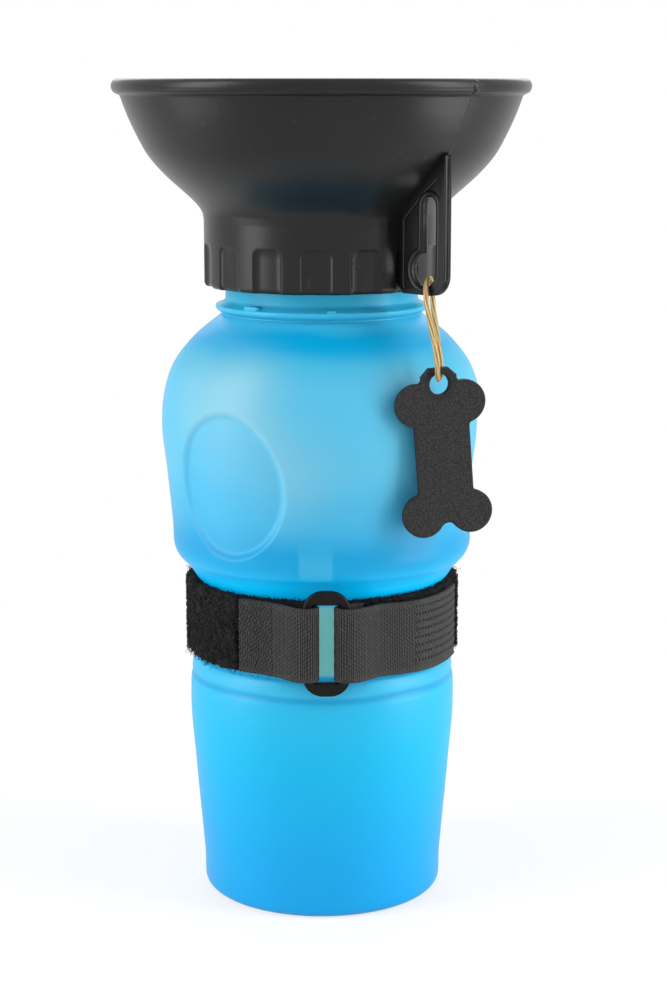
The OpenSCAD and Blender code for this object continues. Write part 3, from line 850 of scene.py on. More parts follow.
def plate(name, outlines, thickness, soft, to_place, steps=4):
    """A plate from closed outlines in mm: the first is its edge and the rest are holes."""
    loops = []
    for k, outline in enumerate(outlines):
        line = [p for i, p in enumerate(outline) if (p - outline[i - 1]).length > 1e-4]
        loops.append(line if (area(line) > 0) == (k == 0) else line[::-1])
    quarter = [math.pi / 2 * k / steps for k in range(steps + 1)]
    profile = [(soft * (1 - math.sin(a)), soft * (1 - math.cos(a)) - thickness / 2) for a in quarter]
    profile += [(d, -z) for d, z in reversed(profile)]
    bm = bmesh.new()
    rims = [[], []]
    for loop in loops:
        rings = [[bm.verts.new((MM * p.x, MM * p.y, MM * z)) for p in inset(loop, d)]
                 for d, z in profile]
        for low, high in zip(rings, rings[1:]):
            for i in range(len(loop)):
                j = (i + 1) % len(loop)
                bm.faces.new((low[i], low[j], high[j], high[i]))
        rims[0].append(rings[0])
        rims[1].append(rings[-1])
    for side in (0, 1):
        corners = [v for rim in rims[side] for v in rim]
        for triangle in tessellate_polygon([[v.co for v in rim] for rim in rims[side]]):
            bm.faces.new([corners[i] for i in triangle])
    bmesh.ops.recalc_face_normals(bm, faces=bm.faces)
    for face in bm.faces:
        face.smooth = True
    for rim in rims[0] + rims[1]:
        for i, v in enumerate(rim):
            edge = bm.edges.get((rim[i - 1], v))
            if edge:
                edge.smooth = False
    mesh = bpy.data.meshes.new(name)
    bm.to_mesh(mesh)
    bm.free()
    mesh.transform(to_place)
    obj = bpy.data.objects.new(name, mesh)
    bpy.context.scene.collection.objects.link(obj)
    return obj


def joined(name, pieces):
    """One object made of several."""
    bm = bmesh.new()
    for piece in pieces:
        bm.from_mesh(piece.data)
    mesh = bpy.data.meshes.new(name)
    bm.to_mesh(mesh)
    bm.free()
    for piece in pieces:
        bpy.data.objects.remove(piece)
    obj = bpy.data.objects.new(name, mesh)
    bpy.context.scene.collection.objects.link(obj)
    return obj


STAND_UP = Matrix.Rotation(math.radians(90), 4, "X")


def upright(azimuth):
    """Turns a drawing (distance from the axis, height) into the upright plane at an azimuth."""
    return Matrix.Rotation(math.radians(azimuth - 90), 4, "Z") @ STAND_UP


print("plates are ready")

# %% Fin
FIN_REACH, FIN_LOW, FIN_HIGH = 45.3, 158.5, 192.2
SLOT_OUT, SLOT_WIDTH, SLOT_TOP = 41.9, 4.4, 182.1
HOLE_RADIUS = 4.1
HOLE = Vector((SLOT_OUT - HOLE_RADIUS, 164.5))


def keyhole_outline(grow):
    """The keyhole, grown on every side: a round end, and a slot whose outer side is its tangent."""
    r, half = HOLE_RADIUS + grow, SLOT_WIDTH / 2 + grow
    middle = SLOT_OUT - SLOT_WIDTH / 2
    meet = math.degrees(math.acos((middle - half - HOLE.x) / r))
    top = Vector((middle, SLOT_TOP - SLOT_WIDTH / 2))
    return arc(HOLE, r, meet, 360, 40) + arc(top, half, 0, 180, 18)


root = [p for p in reversed(shifted(bowl_wall, -1.0)) if p.y < FIN_HIGH - 0.3]
corner = arc((FIN_REACH - 5, FIN_LOW + 5), 5, 360, 270, 12)
fin_outline = [Vector((COLLAR_RADIUS - 1, 161.2)), Vector((COLLAR_RADIUS - 1, 174))] + root[1:]
fin_outline += [Vector((FIN_REACH - 0.2, FIN_HIGH)), Vector((FIN_REACH, FIN_HIGH - 0.4))] + corner
fin_outline += [Vector((COLLAR_RADIUS + 0.9, FIN_LOW))]


def rounded(points, radius, steps=4):
    """A closed outline with its corners rounded off."""
    line = []
    count = len(points)
    for i, p in enumerate(points):
        a, b = (points[i - 1] - p), (points[(i + 1) % count] - p)
        half = a.angle(b) / 2
        cut = min(radius / math.tan(half), 0.45 * a.length, 0.45 * b.length)
        start, end = p + cut * a.normalized(), p + cut * b.normalized()
        line += [(1 - t) ** 2 * start + 2 * t * (1 - t) * p + t * t * end
                 for t in [k / steps for k in range(steps + 1)]]
    return line


pocket = [Vector((31.3, 160)), Vector((35.4, 160))] + arc(HOLE, 5, 246, 360, 10)
pocket += [Vector(p) for p in ((42.8, 181), (43.6, 183.5), (43.6, 187.2), (40.6, 184.8), (38.4, 183.2),
                               (35.1, 180), (31.3, 176.5))]
pocket = rounded(pocket, 1.0)
fin_place = upright(FIN_AZIMUTH)
web = plate("web", [fin_outline, keyhole_outline(0)], 1.5, 0.12, fin_place)
frame_edge = plate("edge", [fin_outline, pocket], 2.3, 0.3, fin_place)
lip = plate("lip", [keyhole_outline(1.8), keyhole_outline(0)], 2.5, 0.8, fin_place, steps=6)
ridge_line = [Vector((FIN_REACH - 0.12, FIN_HIGH - 0.8))] + [p + Vector((-0.12, 0)) for p in corner[:7]]
ridge_line = ridge_line + [p + Vector((0.26, 0)) for p in reversed(ridge_line)]
ridge = plate("ridge", [ridge_line], 0.3, 0.05, fin_place, steps=1)
fin = joined("hanging_fin", [web, frame_edge, lip, ridge])
report(fin)

# %% [markdown]
# The bowl's plastic is a satin charcoal. Its skin has a fine spark-eroded grain that
# breaks up the highlights, with a few brighter specks and scuffs from handling. Broad
# faint clouds in the roughness are what stop a large dark surface from looking like
# paint.

# %% Charcoal plastic
charcoal = Finish("charcoal_plastic")
grain = charcoal.noise(0.00045, detail=3, roughness=0.6)
cloud = charcoal.noise(0.02, detail=3)
speck = 1 - charcoal.step(charcoal.cells(0.006), 0.02, 0.05)
scuff_place = charcoal.make("ShaderNodeMapping", Vector=charcoal.place, Scale=(1, 1, 0.25),
                            Rotation=(0.5, 0.3, 0.2))["Vector"]
scuff = charcoal.step(charcoal.noise(0.0022, detail=5, place=scuff_place), 0.66, 0.74)
base = charcoal.blend(cloud, (0.005, 0.005, 0.005), (0.010, 0.010, 0.010))
base = charcoal.blend((speck * 0.5 + scuff * 0.12).least(1.0), base, (0.08, 0.08, 0.08))
charcoal.surface(Base_Color=base, Roughness=0.24 + grain * 0.08 + cloud * 0.06 + scuff * 0.08,
                 Specular_IOR_Level=0.27, Normal=charcoal.bump(grain, 0.00004, 0.5))
finish_piece(bowl, "bowl", charcoal.material, ["bowl"])
finish_piece(fin, "bowl", charcoal.material)
print("the bowl is charcoal")

# %% [markdown]
# ## The parts inside
#
# The seal ring, the dip tube and the cap over the outlet are plain turned parts, and
# the frame already has them to size. They keep their solids and only get a finish: a
# milky silicone, a natural tube with faint rings from the extruder, and the bowl's
# own charcoal for the cap.

# %% Seal, tube and cap
silicone = Finish("milky_silicone")
dust = silicone.noise(0.0016, detail=4)
silicone.surface(Base_Color=silicone.blend(dust, (0.74, 0.75, 0.72), (0.62, 0.62, 0.58)),
                 Roughness=0.45 + dust * 0.2, Subsurface_Weight=0.25, Subsurface_Radius=(0.002, 0.002, 0.002),
                 Subsurface_Scale=1.0, Normal=silicone.bump(dust, 0.00004, 0.4))

natural = Finish("natural_tube")
EXTRUSION_PITCH = 0.004
_, _, z = natural.parts()
rings = (z * (2 * math.pi / EXTRUSION_PITCH)).sine() * 0.5 + 0.5
rings = rings * 0.4 + natural.noise(0.003, detail=3) * 0.6
natural.surface(Base_Color=natural.blend(rings, (0.47, 0.56, 0.62), (0.62, 0.70, 0.75)),
                Roughness=0.22 + rings * 0.15, Subsurface_Weight=0.3,
                Subsurface_Radius=(0.003, 0.003, 0.003), Subsurface_Scale=1.0,
                Normal=natural.bump(rings, 0.00003, 0.4))
for node, finish in (("seal_ring", silicone), ("dip_tube", natural), ("flow_cap", charcoal)):
    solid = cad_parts[node]
    solid.data.materials.clear()
    solid.data.materials.append(finish.material)
print("inner parts are dressed")

# %% [markdown]
# ## The strap
#
# The strap is one length of loop tape round the waist, with a plastic ring. One end
# is folded round the ring and sewn down, the other goes through the ring, turns back
# and grips the loops with its hook patch. Tape standing on edge is a ribbon: a plan
# line with a thickness and a height. `tape_grid` walks round the ribbon's section at
# every step of the line, and a relief function lifts its outer face, which gives the
# stitched rows and knobs real depth. Distances along and across the tape are kept on
# the mesh for the weave.

# %% Tape
STRAP_Z, STRAP_WIDTH, TAPE = 74.0, 19.0, 1.2
RING_RADIUS, RING_SIDE, RING_END = 37.65, 2.4, 3.5
RING_WIDTH, RING_HEIGHT, RING_THICK = 11.8, 26.5, 2.2
BAR_X, WRAP_RADIUS = 4.7, 2.3
FOLD_RADIUS, FOLD_END = 34.1, 78
TAIL_RADIUS, TAIL_END = 34.8, 37.4
strap_place = Matrix.Rotation(math.radians(RING_AZIMUTH), 4, "Z")


def plan(azimuth, radius):
    """A plan point in mm, in the ring's own direction."""
    a = math.radians(azimuth)
    return Vector((radius * math.sin(a), -radius * math.cos(a)))


def fold_line(radius, end):
    """The line of a tape end in plan: round the ring's bar, then back along the bottle."""
    line = arc((BAR_X, -RING_RADIUS), WRAP_RADIUS, 90, 270, 20)
    line += smooth_line([plan(9.5, RING_RADIUS + WRAP_RADIUS + 0.2), plan(12.5, 39.1), plan(17, 36.9),
                         plan(22, radius + 0.75), plan(27, radius + 0.05), plan(32, radius)], 8)
    return line + [plan(a, radius) for a in np.arange(33, end, 1.0)] + [plan(end, radius)]


def tape_grid(line, thickness, low, high, relief, across=110):
    """A ribbon on edge and its two distances. low(s), high(s) and relief(s, w) are in mm."""
    line = resampled(line, 0.2)
    outside, inside = shifted(line, -thickness / 2), shifted(line, thickness / 2)
    share = [(w, 1) for w in np.linspace(0.012, 0.988, across)]
    edge = [(1.0, 0.55), (1.0, -0.55)]
    share += edge + [(w, -1) for w in np.linspace(0.985, 0.015, 24)] + [(0.0, -0.55), (0.0, 0.55)]
    points, along, over = [], [], []
    distance = 0
    for i, (a, b) in enumerate(zip(outside, inside)):
        distance += (line[i] - line[i - 1]).length if i else 0
        out = (a - b).normalized()
        for w, side in share:
            z = low(distance) + w * (high(distance) - low(distance))
            p = a.lerp(b, (1 - side) / 2)
            if side > 0:
                p = p + out * relief(distance, w * STRAP_WIDTH)
            points.append((MM * p.x, MM * p.y, MM * z))
            along.append(MM * distance)
            over.append(MM * w * STRAP_WIDTH)
    return np.array(points).reshape(len(line), len(share), 3), along, over


def tape_piece(name, grid, along, over, mirror=False):
    """A tape's mesh, placed at the ring's azimuth and with its distances noted."""
    obj = grid_piece(name, grid, close_rows=False)
    close_ends(obj, *grid.shape[:2])
    note(obj, "along", along)
    note(obj, "over", over)
    turn = strap_place @ Matrix.Scale(-1, 4, Vector((1, 0, 0))) if mirror else strap_place
    obj.data.transform(turn)
    if mirror:
        obj.data.flip_normals()
    return report(obj)


print("the ring stands at an azimuth of", RING_AZIMUTH, "degrees")

# %% [markdown]
# The folded end comes from behind the ring's bar, goes round it and lies along the
# strap to the right, a little askew, so that the band's edge peeps out above it. Its
# last part is quilted down with rows of heavy thread.

# %% Sewn fold
ROW_PITCH, STITCH_PITCH = 2.05, 1.15
behind = smooth_line([plan(15.5, 34.05), plan(12, 34.2), plan(9.6, 34.9)], 6)
fold_path = behind + fold_line(FOLD_RADIUS, FOLD_END)
fold_length = sum((b - a).length for a, b in zip(fold_path, fold_path[1:]))
QUILT_START = fold_length - 23


def fold_drop(s):
    """How far the tape has slipped down at a distance along it, in mm."""
    return 0.1 + 1.25 * float(ease(9, 42, s))


def quilting(s, w):
    """Rows of thread standing on the tape, each stitch a little swelling."""
    row = abs(math.cos(math.pi * w / ROW_PITCH)) ** 0.8
    stitch = 0.75 + 0.25 * abs(math.sin(math.pi * s / STITCH_PITCH)) ** 0.5
    wander = 0.03 * math.sin(0.9 * s + 1.7 * w)
    return float(ease(QUILT_START, QUILT_START + 3, s)) * (0.26 * row * stitch - 0.02) + wander


fold_grid, along, over = tape_grid(fold_path, TAPE, lambda s: STRAP_Z - 9.25 - fold_drop(s),
                                   lambda s: STRAP_Z + 9.25 - fold_drop(s), quilting)
fold = tape_piece("strap_sewn_fold", fold_grid, along, over)
print(f"the sewn fold takes {fold_length:.1f} mm of tape")

# %% [markdown]
# The free end mirrors it to the left. Past a seam its face is knobbly: the threads
# that hold the hooks on its other side come through in small bumps, in rows set half
# a step apart.

# %% Free end
tail_path = fold_line(TAIL_RADIUS, TAIL_END)
tail_length = sum((b - a).length for a, b in zip(tail_path, tail_path[1:]))
HOOK_START = tail_length - 10.2
KNOB = 1.05


def knobs(s, w):
    """Bumps in staggered rows past the seam, and a groove at the seam."""
    row = round(w / KNOB)
    at = (s / KNOB + 0.5 * (row % 2)) % 1 - 0.5
    near = math.hypot(at, w / KNOB - row)
    seam = -0.18 * math.exp(-((s - HOOK_START) / 0.22) ** 2)
    ragged = 0.05 * math.sin(3.1 * w) * math.sin(2.3 * s)
    bump = 0.24 * float(1 - ease(0.12, 0.5, near)) * float(ease(HOOK_START, HOOK_START + 0.8, s))
    return bump + seam + 0.4 * ragged


tail_grid, along, over = tape_grid(tail_path, TAPE, lambda s: STRAP_Z - 9.3,
                                   lambda s: STRAP_Z + 9.3, knobs)
tail = tape_piece("strap_free_end", tail_grid, along, over, mirror=True)
print(f"the free end takes {tail_length:.1f} mm of tape")

# %% [markdown]
# Both ends share one woven finish. Fine ribs cross the tape, half a millimetre apart,
# and each is broken by the weft into a brick pattern; painted shade darkens the
# hollows between the ribs. The selvage is smoother and a little paler. Where the fold
# is quilted, needle slots between the rows are painted dark as shade.

# %% Woven tape
RIB_PITCH, BRICK_PITCH = 0.00052, 0.0011


def woven(name, quilt_start=None, knob_start=None):
    """Woven tape, with its plain weave changed past a distance along it."""
    tape = Finish(name)
    s, w = tape.noted("along"), tape.noted("over")
    fuzz = tape.noise(0.0004, detail=4)
    lean = tape.noise(0.005, detail=2)
    rib = abs((s * (math.pi / RIB_PITCH) + (lean - 0.5) * 1.2).sine()) ** 0.8
    pick = tape.make("ShaderNodeMath", {"operation": "FLOOR"}, Value=s / RIB_PITCH)["Value"]
    brick = (w * (2 * math.pi / BRICK_PITCH) + pick * 2.2).sine() * 0.5 + 0.5
    from_edge = abs(w - MM * STRAP_WIDTH / 2)
    selvage = tape.step(from_edge, 0.0078, 0.0082)
    plain = (rib * 0.62 + brick * rib * 0.38) * (1 - selvage * 0.5) + selvage * 0.3
    height = plain
    if quilt_start:
        past = tape.step(s, MM * quilt_start, MM * (quilt_start + 3))
        row_gap = 1 - abs((w * (math.pi / (MM * ROW_PITCH)) + math.pi / 2).sine())
        slot_place = abs((s * (math.pi / (MM * STITCH_PITCH))).sine())
        # Painted shade: the needle slots between the quilted rows are darkened in the colour.
        slot = tape.step(row_gap, 0.42, 0.62) * (1 - tape.step(slot_place, 0.42, 0.66))
        slot = slot * past * (1 - selvage)
        height = plain * (1 - past * 0.6) + past * 0.3 - slot * 1.4
        plain = plain * (1 - past * 0.35) + past * 0.28 - slot * 1.6
    if knob_start:
        past = tape.step(s, MM * knob_start, MM * (knob_start + 0.8))
        plain = plain * (1 - past * 0.4) + fuzz * past * 0.4
    # Painted shade: the weave's hollows and slots are dark, its rib crowns paler.
    shade = tape.step(plain + (fuzz - 0.5) * 0.6, 0.12, 0.88)
    colour = tape.blend(shade, (0.002, 0.002, 0.002), (0.050, 0.049, 0.048))
    colour = tape.blend(tape.step(fuzz, 0.62, 0.72) * 0.4, colour, (0.15, 0.145, 0.14))
    return tape.surface(Base_Color=colour, Roughness=0.82 - shade * 0.15, Specular_IOR_Level=0.15,
                        Normal=tape.bump(height + fuzz * 0.25, 0.00022, 0.8))


finish_piece(fold, "strap", woven("woven_fold", quilt_start=QUILT_START), ["strap_fold"])
finish_piece(tail, "tail", woven("woven_free_end", knob_start=HOOK_START), ["strap_tail"])
print("the tape is woven")

# %% [markdown]
# The band itself is loop tape: a woven base with a pile of fine curly loops that the
# hooks catch. It goes all the way round the waist. Its base is a ribbon again, drawn
# here in azimuth, because its thickness changes: thin under the sewn fold, a little
# thinner under the free end, and thick where the pile shows.

# %% Band
BAND_IN, UNDER_FOLD, UNDER_END, PILE_RADIUS = 32.1, 33.4, 33.2, 35.3
PILE_FROM, PILE_TO = 79.0, 360 - TAIL_END - 1.5


def band_outside(azimuth):
    """The band's outer radius at an azimuth from the ring, without its loops."""
    pile = ease(PILE_FROM, PILE_FROM + 2, azimuth) * (1 - ease(PILE_TO - 1.5, PILE_TO, azimuth))
    thin = UNDER_FOLD - (UNDER_FOLD - UNDER_END) * ease(300, 320, azimuth)
    thin = thin + 1.1 * ease(344, 351, azimuth)
    return thin + pile * (PILE_RADIUS - 0.55 - thin)


across = list(np.linspace(0.02, 0.98, 30))
half = STRAP_WIDTH / 2
rows = []
for azimuth in np.arange(6, 354.01, 0.5):
    out = float(band_outside(azimuth))
    section = [(out, (2 * w - 1) * half) for w in across]
    section += [(out - 0.3, half), (BAND_IN + 0.3, half), (BAND_IN, half - 0.3),
                (BAND_IN, 0.3 - half), (BAND_IN + 0.3, -half), (out - 0.3, -half)]
    rows.append([tuple(MM * Vector((*plan(azimuth, r), STRAP_Z + h))) for r, h in section])
band = grid_piece("strap_band_base", np.array(rows), close_rows=False)
close_ends(band, len(rows), len(rows[0]))
band.data.transform(strap_place)
report(band)

# %% [markdown]
# Several thousand loops are too many to place by hand and too alike to need it. Each
# is the same bent tube of a few faces, turned, stretched and tipped by seeded random
# numbers, and numpy writes all of them into one mesh. Hair would look softer, but it
# doesn't travel with the model.

# %% Loops
def loops_mesh(name, roots, out, up, rng, height, width, wire, steps=7):
    """Curls of fine tube: roots are points, out is where they stand up to, up a direction across."""
    count, sides = len(roots), 4
    side = np.cross(out, up)
    spin = rng.uniform(0, math.pi, (count, 1))
    along = np.cos(spin) * side + np.sin(spin) * up
    lean = rng.normal(0, 0.35, (count, 1)) * side + rng.normal(0, 0.35, (count, 1)) * up
    tall = rng.uniform(*height, (count, 1))
    wide = rng.uniform(*width, (count, 1))
    t = np.linspace(-0.15, math.pi + 0.5, steps)
    centre = []
    for a in t:
        centre.append(roots + wide * math.cos(a) * along + tall * math.sin(a) * (out + lean)
                      + 0.35 * wide * math.sin(2 * a) * np.cross(along, out))
    centre = np.array(centre)
    ahead = np.gradient(centre, axis=0)
    ahead /= np.linalg.norm(ahead, axis=-1, keepdims=True)
    first = np.cross(ahead, np.cross(along, out))
    first /= np.linalg.norm(first, axis=-1, keepdims=True) + 1e-12
    second = np.cross(ahead, first)
    ring = [wire * (math.cos(2 * math.pi * k / sides) * first
                    + math.sin(2 * math.pi * k / sides) * second) for k in range(sides)]
    points = np.stack([centre + r for r in ring], axis=2).transpose(1, 0, 2, 3)
    number = np.arange(count * steps * sides).reshape(count, steps, sides)
    a, b = number[:, :-1], number[:, 1:]
    quads = np.stack([a, np.roll(a, -1, 2), np.roll(b, -1, 2), b], -1).reshape(-1, 4)
    mesh = bpy.data.meshes.new(name)
    mesh.vertices.add(count * steps * sides)
    mesh.vertices.foreach_set("co", points.reshape(-1).astype(np.float32))
    mesh.loops.add(quads.size)
    mesh.loops.foreach_set("vertex_index", quads.reshape(-1).astype(np.int32))
    mesh.polygons.add(len(quads))
    mesh.polygons.foreach_set("loop_start", np.arange(0, quads.size, 4, dtype=np.int32))
    mesh.polygons.foreach_set("use_smooth", np.ones(len(quads), bool))
    mesh.update(calc_edges=True)
    obj = bpy.data.objects.new(name, mesh)
    bpy.context.scene.collection.objects.link(obj)
    return obj


def on_band(azimuth, radius, height):
    """Points in metres on the band, from arrays in degrees and mm."""
    a = np.radians(azimuth + RING_AZIMUTH)
    return MM * np.stack([radius * np.sin(a), -radius * np.cos(a), STRAP_Z + height], -1)


def outwards(azimuth):
    """Unit vectors away from the axis."""
    a = np.radians(azimuth + RING_AZIMUTH)
    return np.stack([np.sin(a), -np.cos(a), 0 * a], -1)


def upwards(count):
    """As many unit vectors that point up."""
    return np.tile((0.0, 0.0, 1.0), (count, 1))


rng = np.random.default_rng(5)
pile_count = 5200
azimuth = rng.uniform(PILE_FROM - 0.5, PILE_TO + 1.2, pile_count)
height = rng.uniform(-9.4, 9.4, pile_count)
pile = loops_mesh("strap_pile", on_band(azimuth, PILE_RADIUS - 0.62, height), outwards(azimuth),
                  upwards(pile_count), rng, (0.00045, 0.00085), (0.00025, 0.00055), 0.000085)
report(pile)

# %% [markdown]
# Along both edges of the band, and on the strip that shows above the sewn fold, the
# loops are shorter and lie every way. A few stray threads curl out further.

# %% Edge loops and stray threads
edge_count = 1700
azimuth = rng.uniform(8, 352, edge_count)
top = rng.random(edge_count) < 0.62
out = band_outside(azimuth)
radius = BAND_IN + 0.2 + rng.random(edge_count) * (out - BAND_IN - 0.3)
height = np.where(top, 9.42, -9.42)
direction = outwards(azimuth) * rng.normal(0.2, 0.4, (edge_count, 1))
direction[:, 2] += np.where(top, 1.0, -1.0)
direction /= np.linalg.norm(direction, axis=-1, keepdims=True)
edge = loops_mesh("strap_edge_loops", on_band(azimuth, radius, height), direction,
                  outwards(azimuth), rng, (0.00022, 0.00055), (0.0002, 0.00045), 0.00007)

strip_count = 800
azimuth = rng.uniform(9, 79, strip_count)
height = rng.uniform(8.0, 9.4, strip_count)
strip = loops_mesh("strap_strip_loops", on_band(azimuth, UNDER_FOLD - 0.05, height),
                   outwards(azimuth), upwards(strip_count), rng,
                   (0.00025, 0.0005), (0.0002, 0.0004), 0.00007)

stray_count = 260
azimuth = rng.uniform(8, 352, stray_count)
low = rng.random(stray_count) < 0.6
out = band_outside(azimuth)
direction = outwards(azimuth) * rng.normal(0.5, 0.5, (stray_count, 1))
direction[:, 2] += np.where(low, -1.0, 1.0)
direction /= np.linalg.norm(direction, axis=-1, keepdims=True)
height = np.where(low, -9.3, 9.3)
stray = loops_mesh("strap_stray_threads", on_band(azimuth, out - 0.1, height), direction,
                   outwards(azimuth), rng, (0.0006, 0.0015), (0.0003, 0.0008), 0.00004, steps=10)
print(edge_count + strip_count + stray_count, "loops along the edges")

# %% [markdown]
# Nylon loops are charcoal with a soft shine, with painted highlight in pale noise
# patches where loops catch the light, and the base between them is nearly black.

# %% Loop pile
nylon = Finish("loop_pile")
tuft = nylon.noise(0.0009, detail=3)
nylon_patch = nylon.noise(0.006, detail=2)
# Painted highlight: pale patches on the loops stand for light caught on their crowns.
shade = nylon.step(tuft * 0.7 + nylon_patch * 0.3, 0.36, 0.66)
nylon.surface(Base_Color=nylon.blend(shade, (0.002, 0.002, 0.002), (0.032, 0.031, 0.031)),
              Roughness=0.55 + tuft * 0.2, Specular_IOR_Level=0.15,
              Normal=nylon.bump(nylon.noise(0.00025, detail=2), 0.00004, 0.5))
under = Finish("band_base")
knit = under.cells(0.0007)
base = under.blend(under.step(knit, 0.1, 0.6), (0.004, 0.004, 0.004), (0.016, 0.016, 0.016))
under.surface(Base_Color=base, Roughness=0.85 + knit * 0.1, Specular_IOR_Level=0.1,
              Normal=under.bump(knit, 0.0002, 0.6))
finish_piece(band, "strap", under.material, ["strap_band"])
for piece in (pile, edge, strip, stray):
    finish_piece(piece, "strap", nylon.material)
print("the band has its pile")

# %% [markdown]
# The hook patch lines the free end. It shows when the end is peeled off: a thin
# ribbon with rows of tiny hooks that lean and curl over. They are the loops' tubes
# again, cut short of a full arch.

# %% Hook patch
HOOK_GAP, PATCH_THICK = 0.06, 0.26
patch_out = TAIL_RADIUS - TAPE / 2 - HOOK_GAP
patch_path = [plan(a, patch_out - 0.14) for a in np.arange(26, TAIL_END - 0.3, 0.4)]
patch_grid, along, over = tape_grid(patch_path, PATCH_THICK, lambda s: STRAP_Z - 9,
                                    lambda s: STRAP_Z + 9, lambda s, w: 0.0, across=30)
patch = tape_piece("hook_patch_base", patch_grid, along, over, mirror=True)
spots = [(a, h) for a in np.arange(26.8, TAIL_END - 0.6, 1.15) for h in np.arange(-8.6, 8.7, 0.62)]
azimuth = np.array([-a for a, _ in spots])
height = np.array([h for _, h in spots])
hooks = loops_mesh("hook_patch_hooks", on_band(azimuth, patch_out - 0.24, height),
                   -outwards(azimuth), upwards(len(spots)), rng,
                   (0.00022, 0.00030), (0.00012, 0.00018), 0.00005, steps=6)
hook_finish = Finish("hook_plastic")
worn = hook_finish.noise(0.0012, detail=3)
hook_finish.surface(Base_Color=hook_finish.blend(worn, (0.02, 0.02, 0.021), (0.06, 0.06, 0.06)),
                    Roughness=0.42 + worn * 0.2, Normal=hook_finish.bump(worn, 0.00005, 0.4))
finish_piece(patch, "tail", hook_finish.material, ["hook_patch"])
finish_piece(hooks, "tail", hook_finish.material)
report(hooks)

# %% [markdown]
# ## The ring
#
# The ring is a moulded loop with broad round ends and a window for the tape. It is
# flat at front and back and soft at every arris: a plate again, stood upright in
# front of the bottle.

# %% Ring
def round_rect(width, height, radius, steps):
    """A closed outline of a rectangle with round corners."""
    x, y = width / 2 - radius, height / 2 - radius
    return (arc((x, y), radius, 0, 90, steps) + arc((-x, y), radius, 90, 180, steps)
            + arc((-x, -y), radius, 180, 270, steps) + arc((x, -y), radius, 270, 360, steps))


ring_place = (strap_place @ Matrix.Translation(MM * Vector((0, -RING_RADIUS, STRAP_Z)))
              @ STAND_UP)
outside = round_rect(RING_WIDTH, RING_HEIGHT, 5, 14)
window = round_rect(RING_WIDTH - 2 * RING_SIDE, RING_HEIGHT - 2 * RING_END, 0.8, 5)
ring = plate("strap_ring_moulded", [outside, window], RING_THICK, 0.62, ring_place, steps=6)
report(ring)

acetal = Finish("ring_plastic")
haze = acetal.noise(0.0005, detail=3)
wear = acetal.step(acetal.noise(0.003, detail=5), 0.62, 0.72)
acetal.surface(Base_Color=acetal.blend(wear * 0.3, (0.005, 0.005, 0.005), (0.022, 0.022, 0.022)),
               Roughness=0.30 + haze * 0.12 + wear * 0.12, Specular_IOR_Level=0.14,
               Normal=acetal.bump(haze, 0.00003, 0.5))
finish_piece(ring, "strap", acetal.material, ["strap_ring"])
print("the ring is in place")

# %% [markdown]
# ## The tag
#
# A bone of soft rubber, cut flat, hangs from a lug with cut corners. Its outline is
# made of arcs, straight sides and fillets: four round ends on a shaft, the lug at its
# top, and a shallow notch between the two lower ends. Each fillet is an arc that
# touches both its neighbours, and simple geometry gives its middle.

# %% Outline of the bone
LOBE, LOBE_X, LOBE_TOP, LOBE_LOW = 5.3, 5.95, -4.75, -31.8
SHAFT, LUG, LUG_TOP, LUG_CUT = 13.7 / 2, 8.8, 4.0, 2.0
FILLET, NOTCH = 0.9, 2.0
TAG_AT, TAG_AZIMUTH, TAG_ROLL, TAG_THICK = Vector((28.25, -36, 137.9)), 14, 4.4, 2.2


def degrees(v):
    """Direction of a flat vector."""
    return math.degrees(math.atan2(v.y, v.x))


def fillet(centre, touch_a, touch_b, radius, steps=6):
    """The arc of a fillet from one touching point to the other, the short way."""
    a, b = degrees(touch_a - centre), degrees(touch_b - centre)
    turn = (b - a + 180) % 360 - 180
    return arc(centre, radius, a, a + turn, steps)


low_lobe, top_lobe = Vector((LOBE_X, LOBE_LOW)), Vector((LOBE_X, LOBE_TOP))
notch = Vector((0, LOBE_LOW - math.sqrt((LOBE + NOTCH) ** 2 - LOBE_X ** 2)))
step_x = SHAFT + FILLET - LOBE_X
step_z = math.sqrt((LOBE + FILLET) ** 2 - step_x ** 2)
low_fillet = Vector((SHAFT + FILLET, LOBE_LOW + step_z))
top_fillet = Vector((SHAFT + FILLET, LOBE_TOP - step_z))
lug_corners = [Vector((LUG / 2, LUG_TOP - LUG_CUT)), Vector((LUG / 2 - LUG_CUT, LUG_TOP))]
lug_fillet_z = LOBE_TOP + math.sqrt((LOBE + FILLET) ** 2 - (LUG / 2 + FILLET - LOBE_X) ** 2)
lug_fillet = Vector((LUG / 2 + FILLET, lug_fillet_z))


def on_lobe(lobe, toward):
    """The point of a lobe nearest to a fillet's middle."""
    return lobe + LOBE * (toward - lobe).normalized()


right = [notch + Vector((0, NOTCH))]
right += fillet(notch, notch + Vector((0, NOTCH)), on_lobe(low_lobe, notch), NOTCH)[1:]
start, end = degrees(notch - low_lobe), degrees(low_fillet - low_lobe)
right += arc(low_lobe, LOBE, start, end, 40)[1:]
inwards = Vector((FILLET, 0))
right += fillet(low_fillet, on_lobe(low_lobe, low_fillet), low_fillet - inwards, FILLET)[1:]
right += fillet(top_fillet, top_fillet - inwards, on_lobe(top_lobe, top_fillet), FILLET)
start, end = degrees(top_fillet - top_lobe), degrees(lug_fillet - top_lobe)
right += arc(top_lobe, LOBE, start, end, 40)[1:]
right += fillet(lug_fillet, on_lobe(top_lobe, lug_fillet), lug_fillet - inwards, FILLET)[1:]
right += [p for p in lug_corners if p.y > right[-1].y]
bone = right + [Vector((-p.x, p.y)) for p in reversed(right[1:])]
hole = arc((0, 0), 2.5, 0, 360, 48)[:-1]
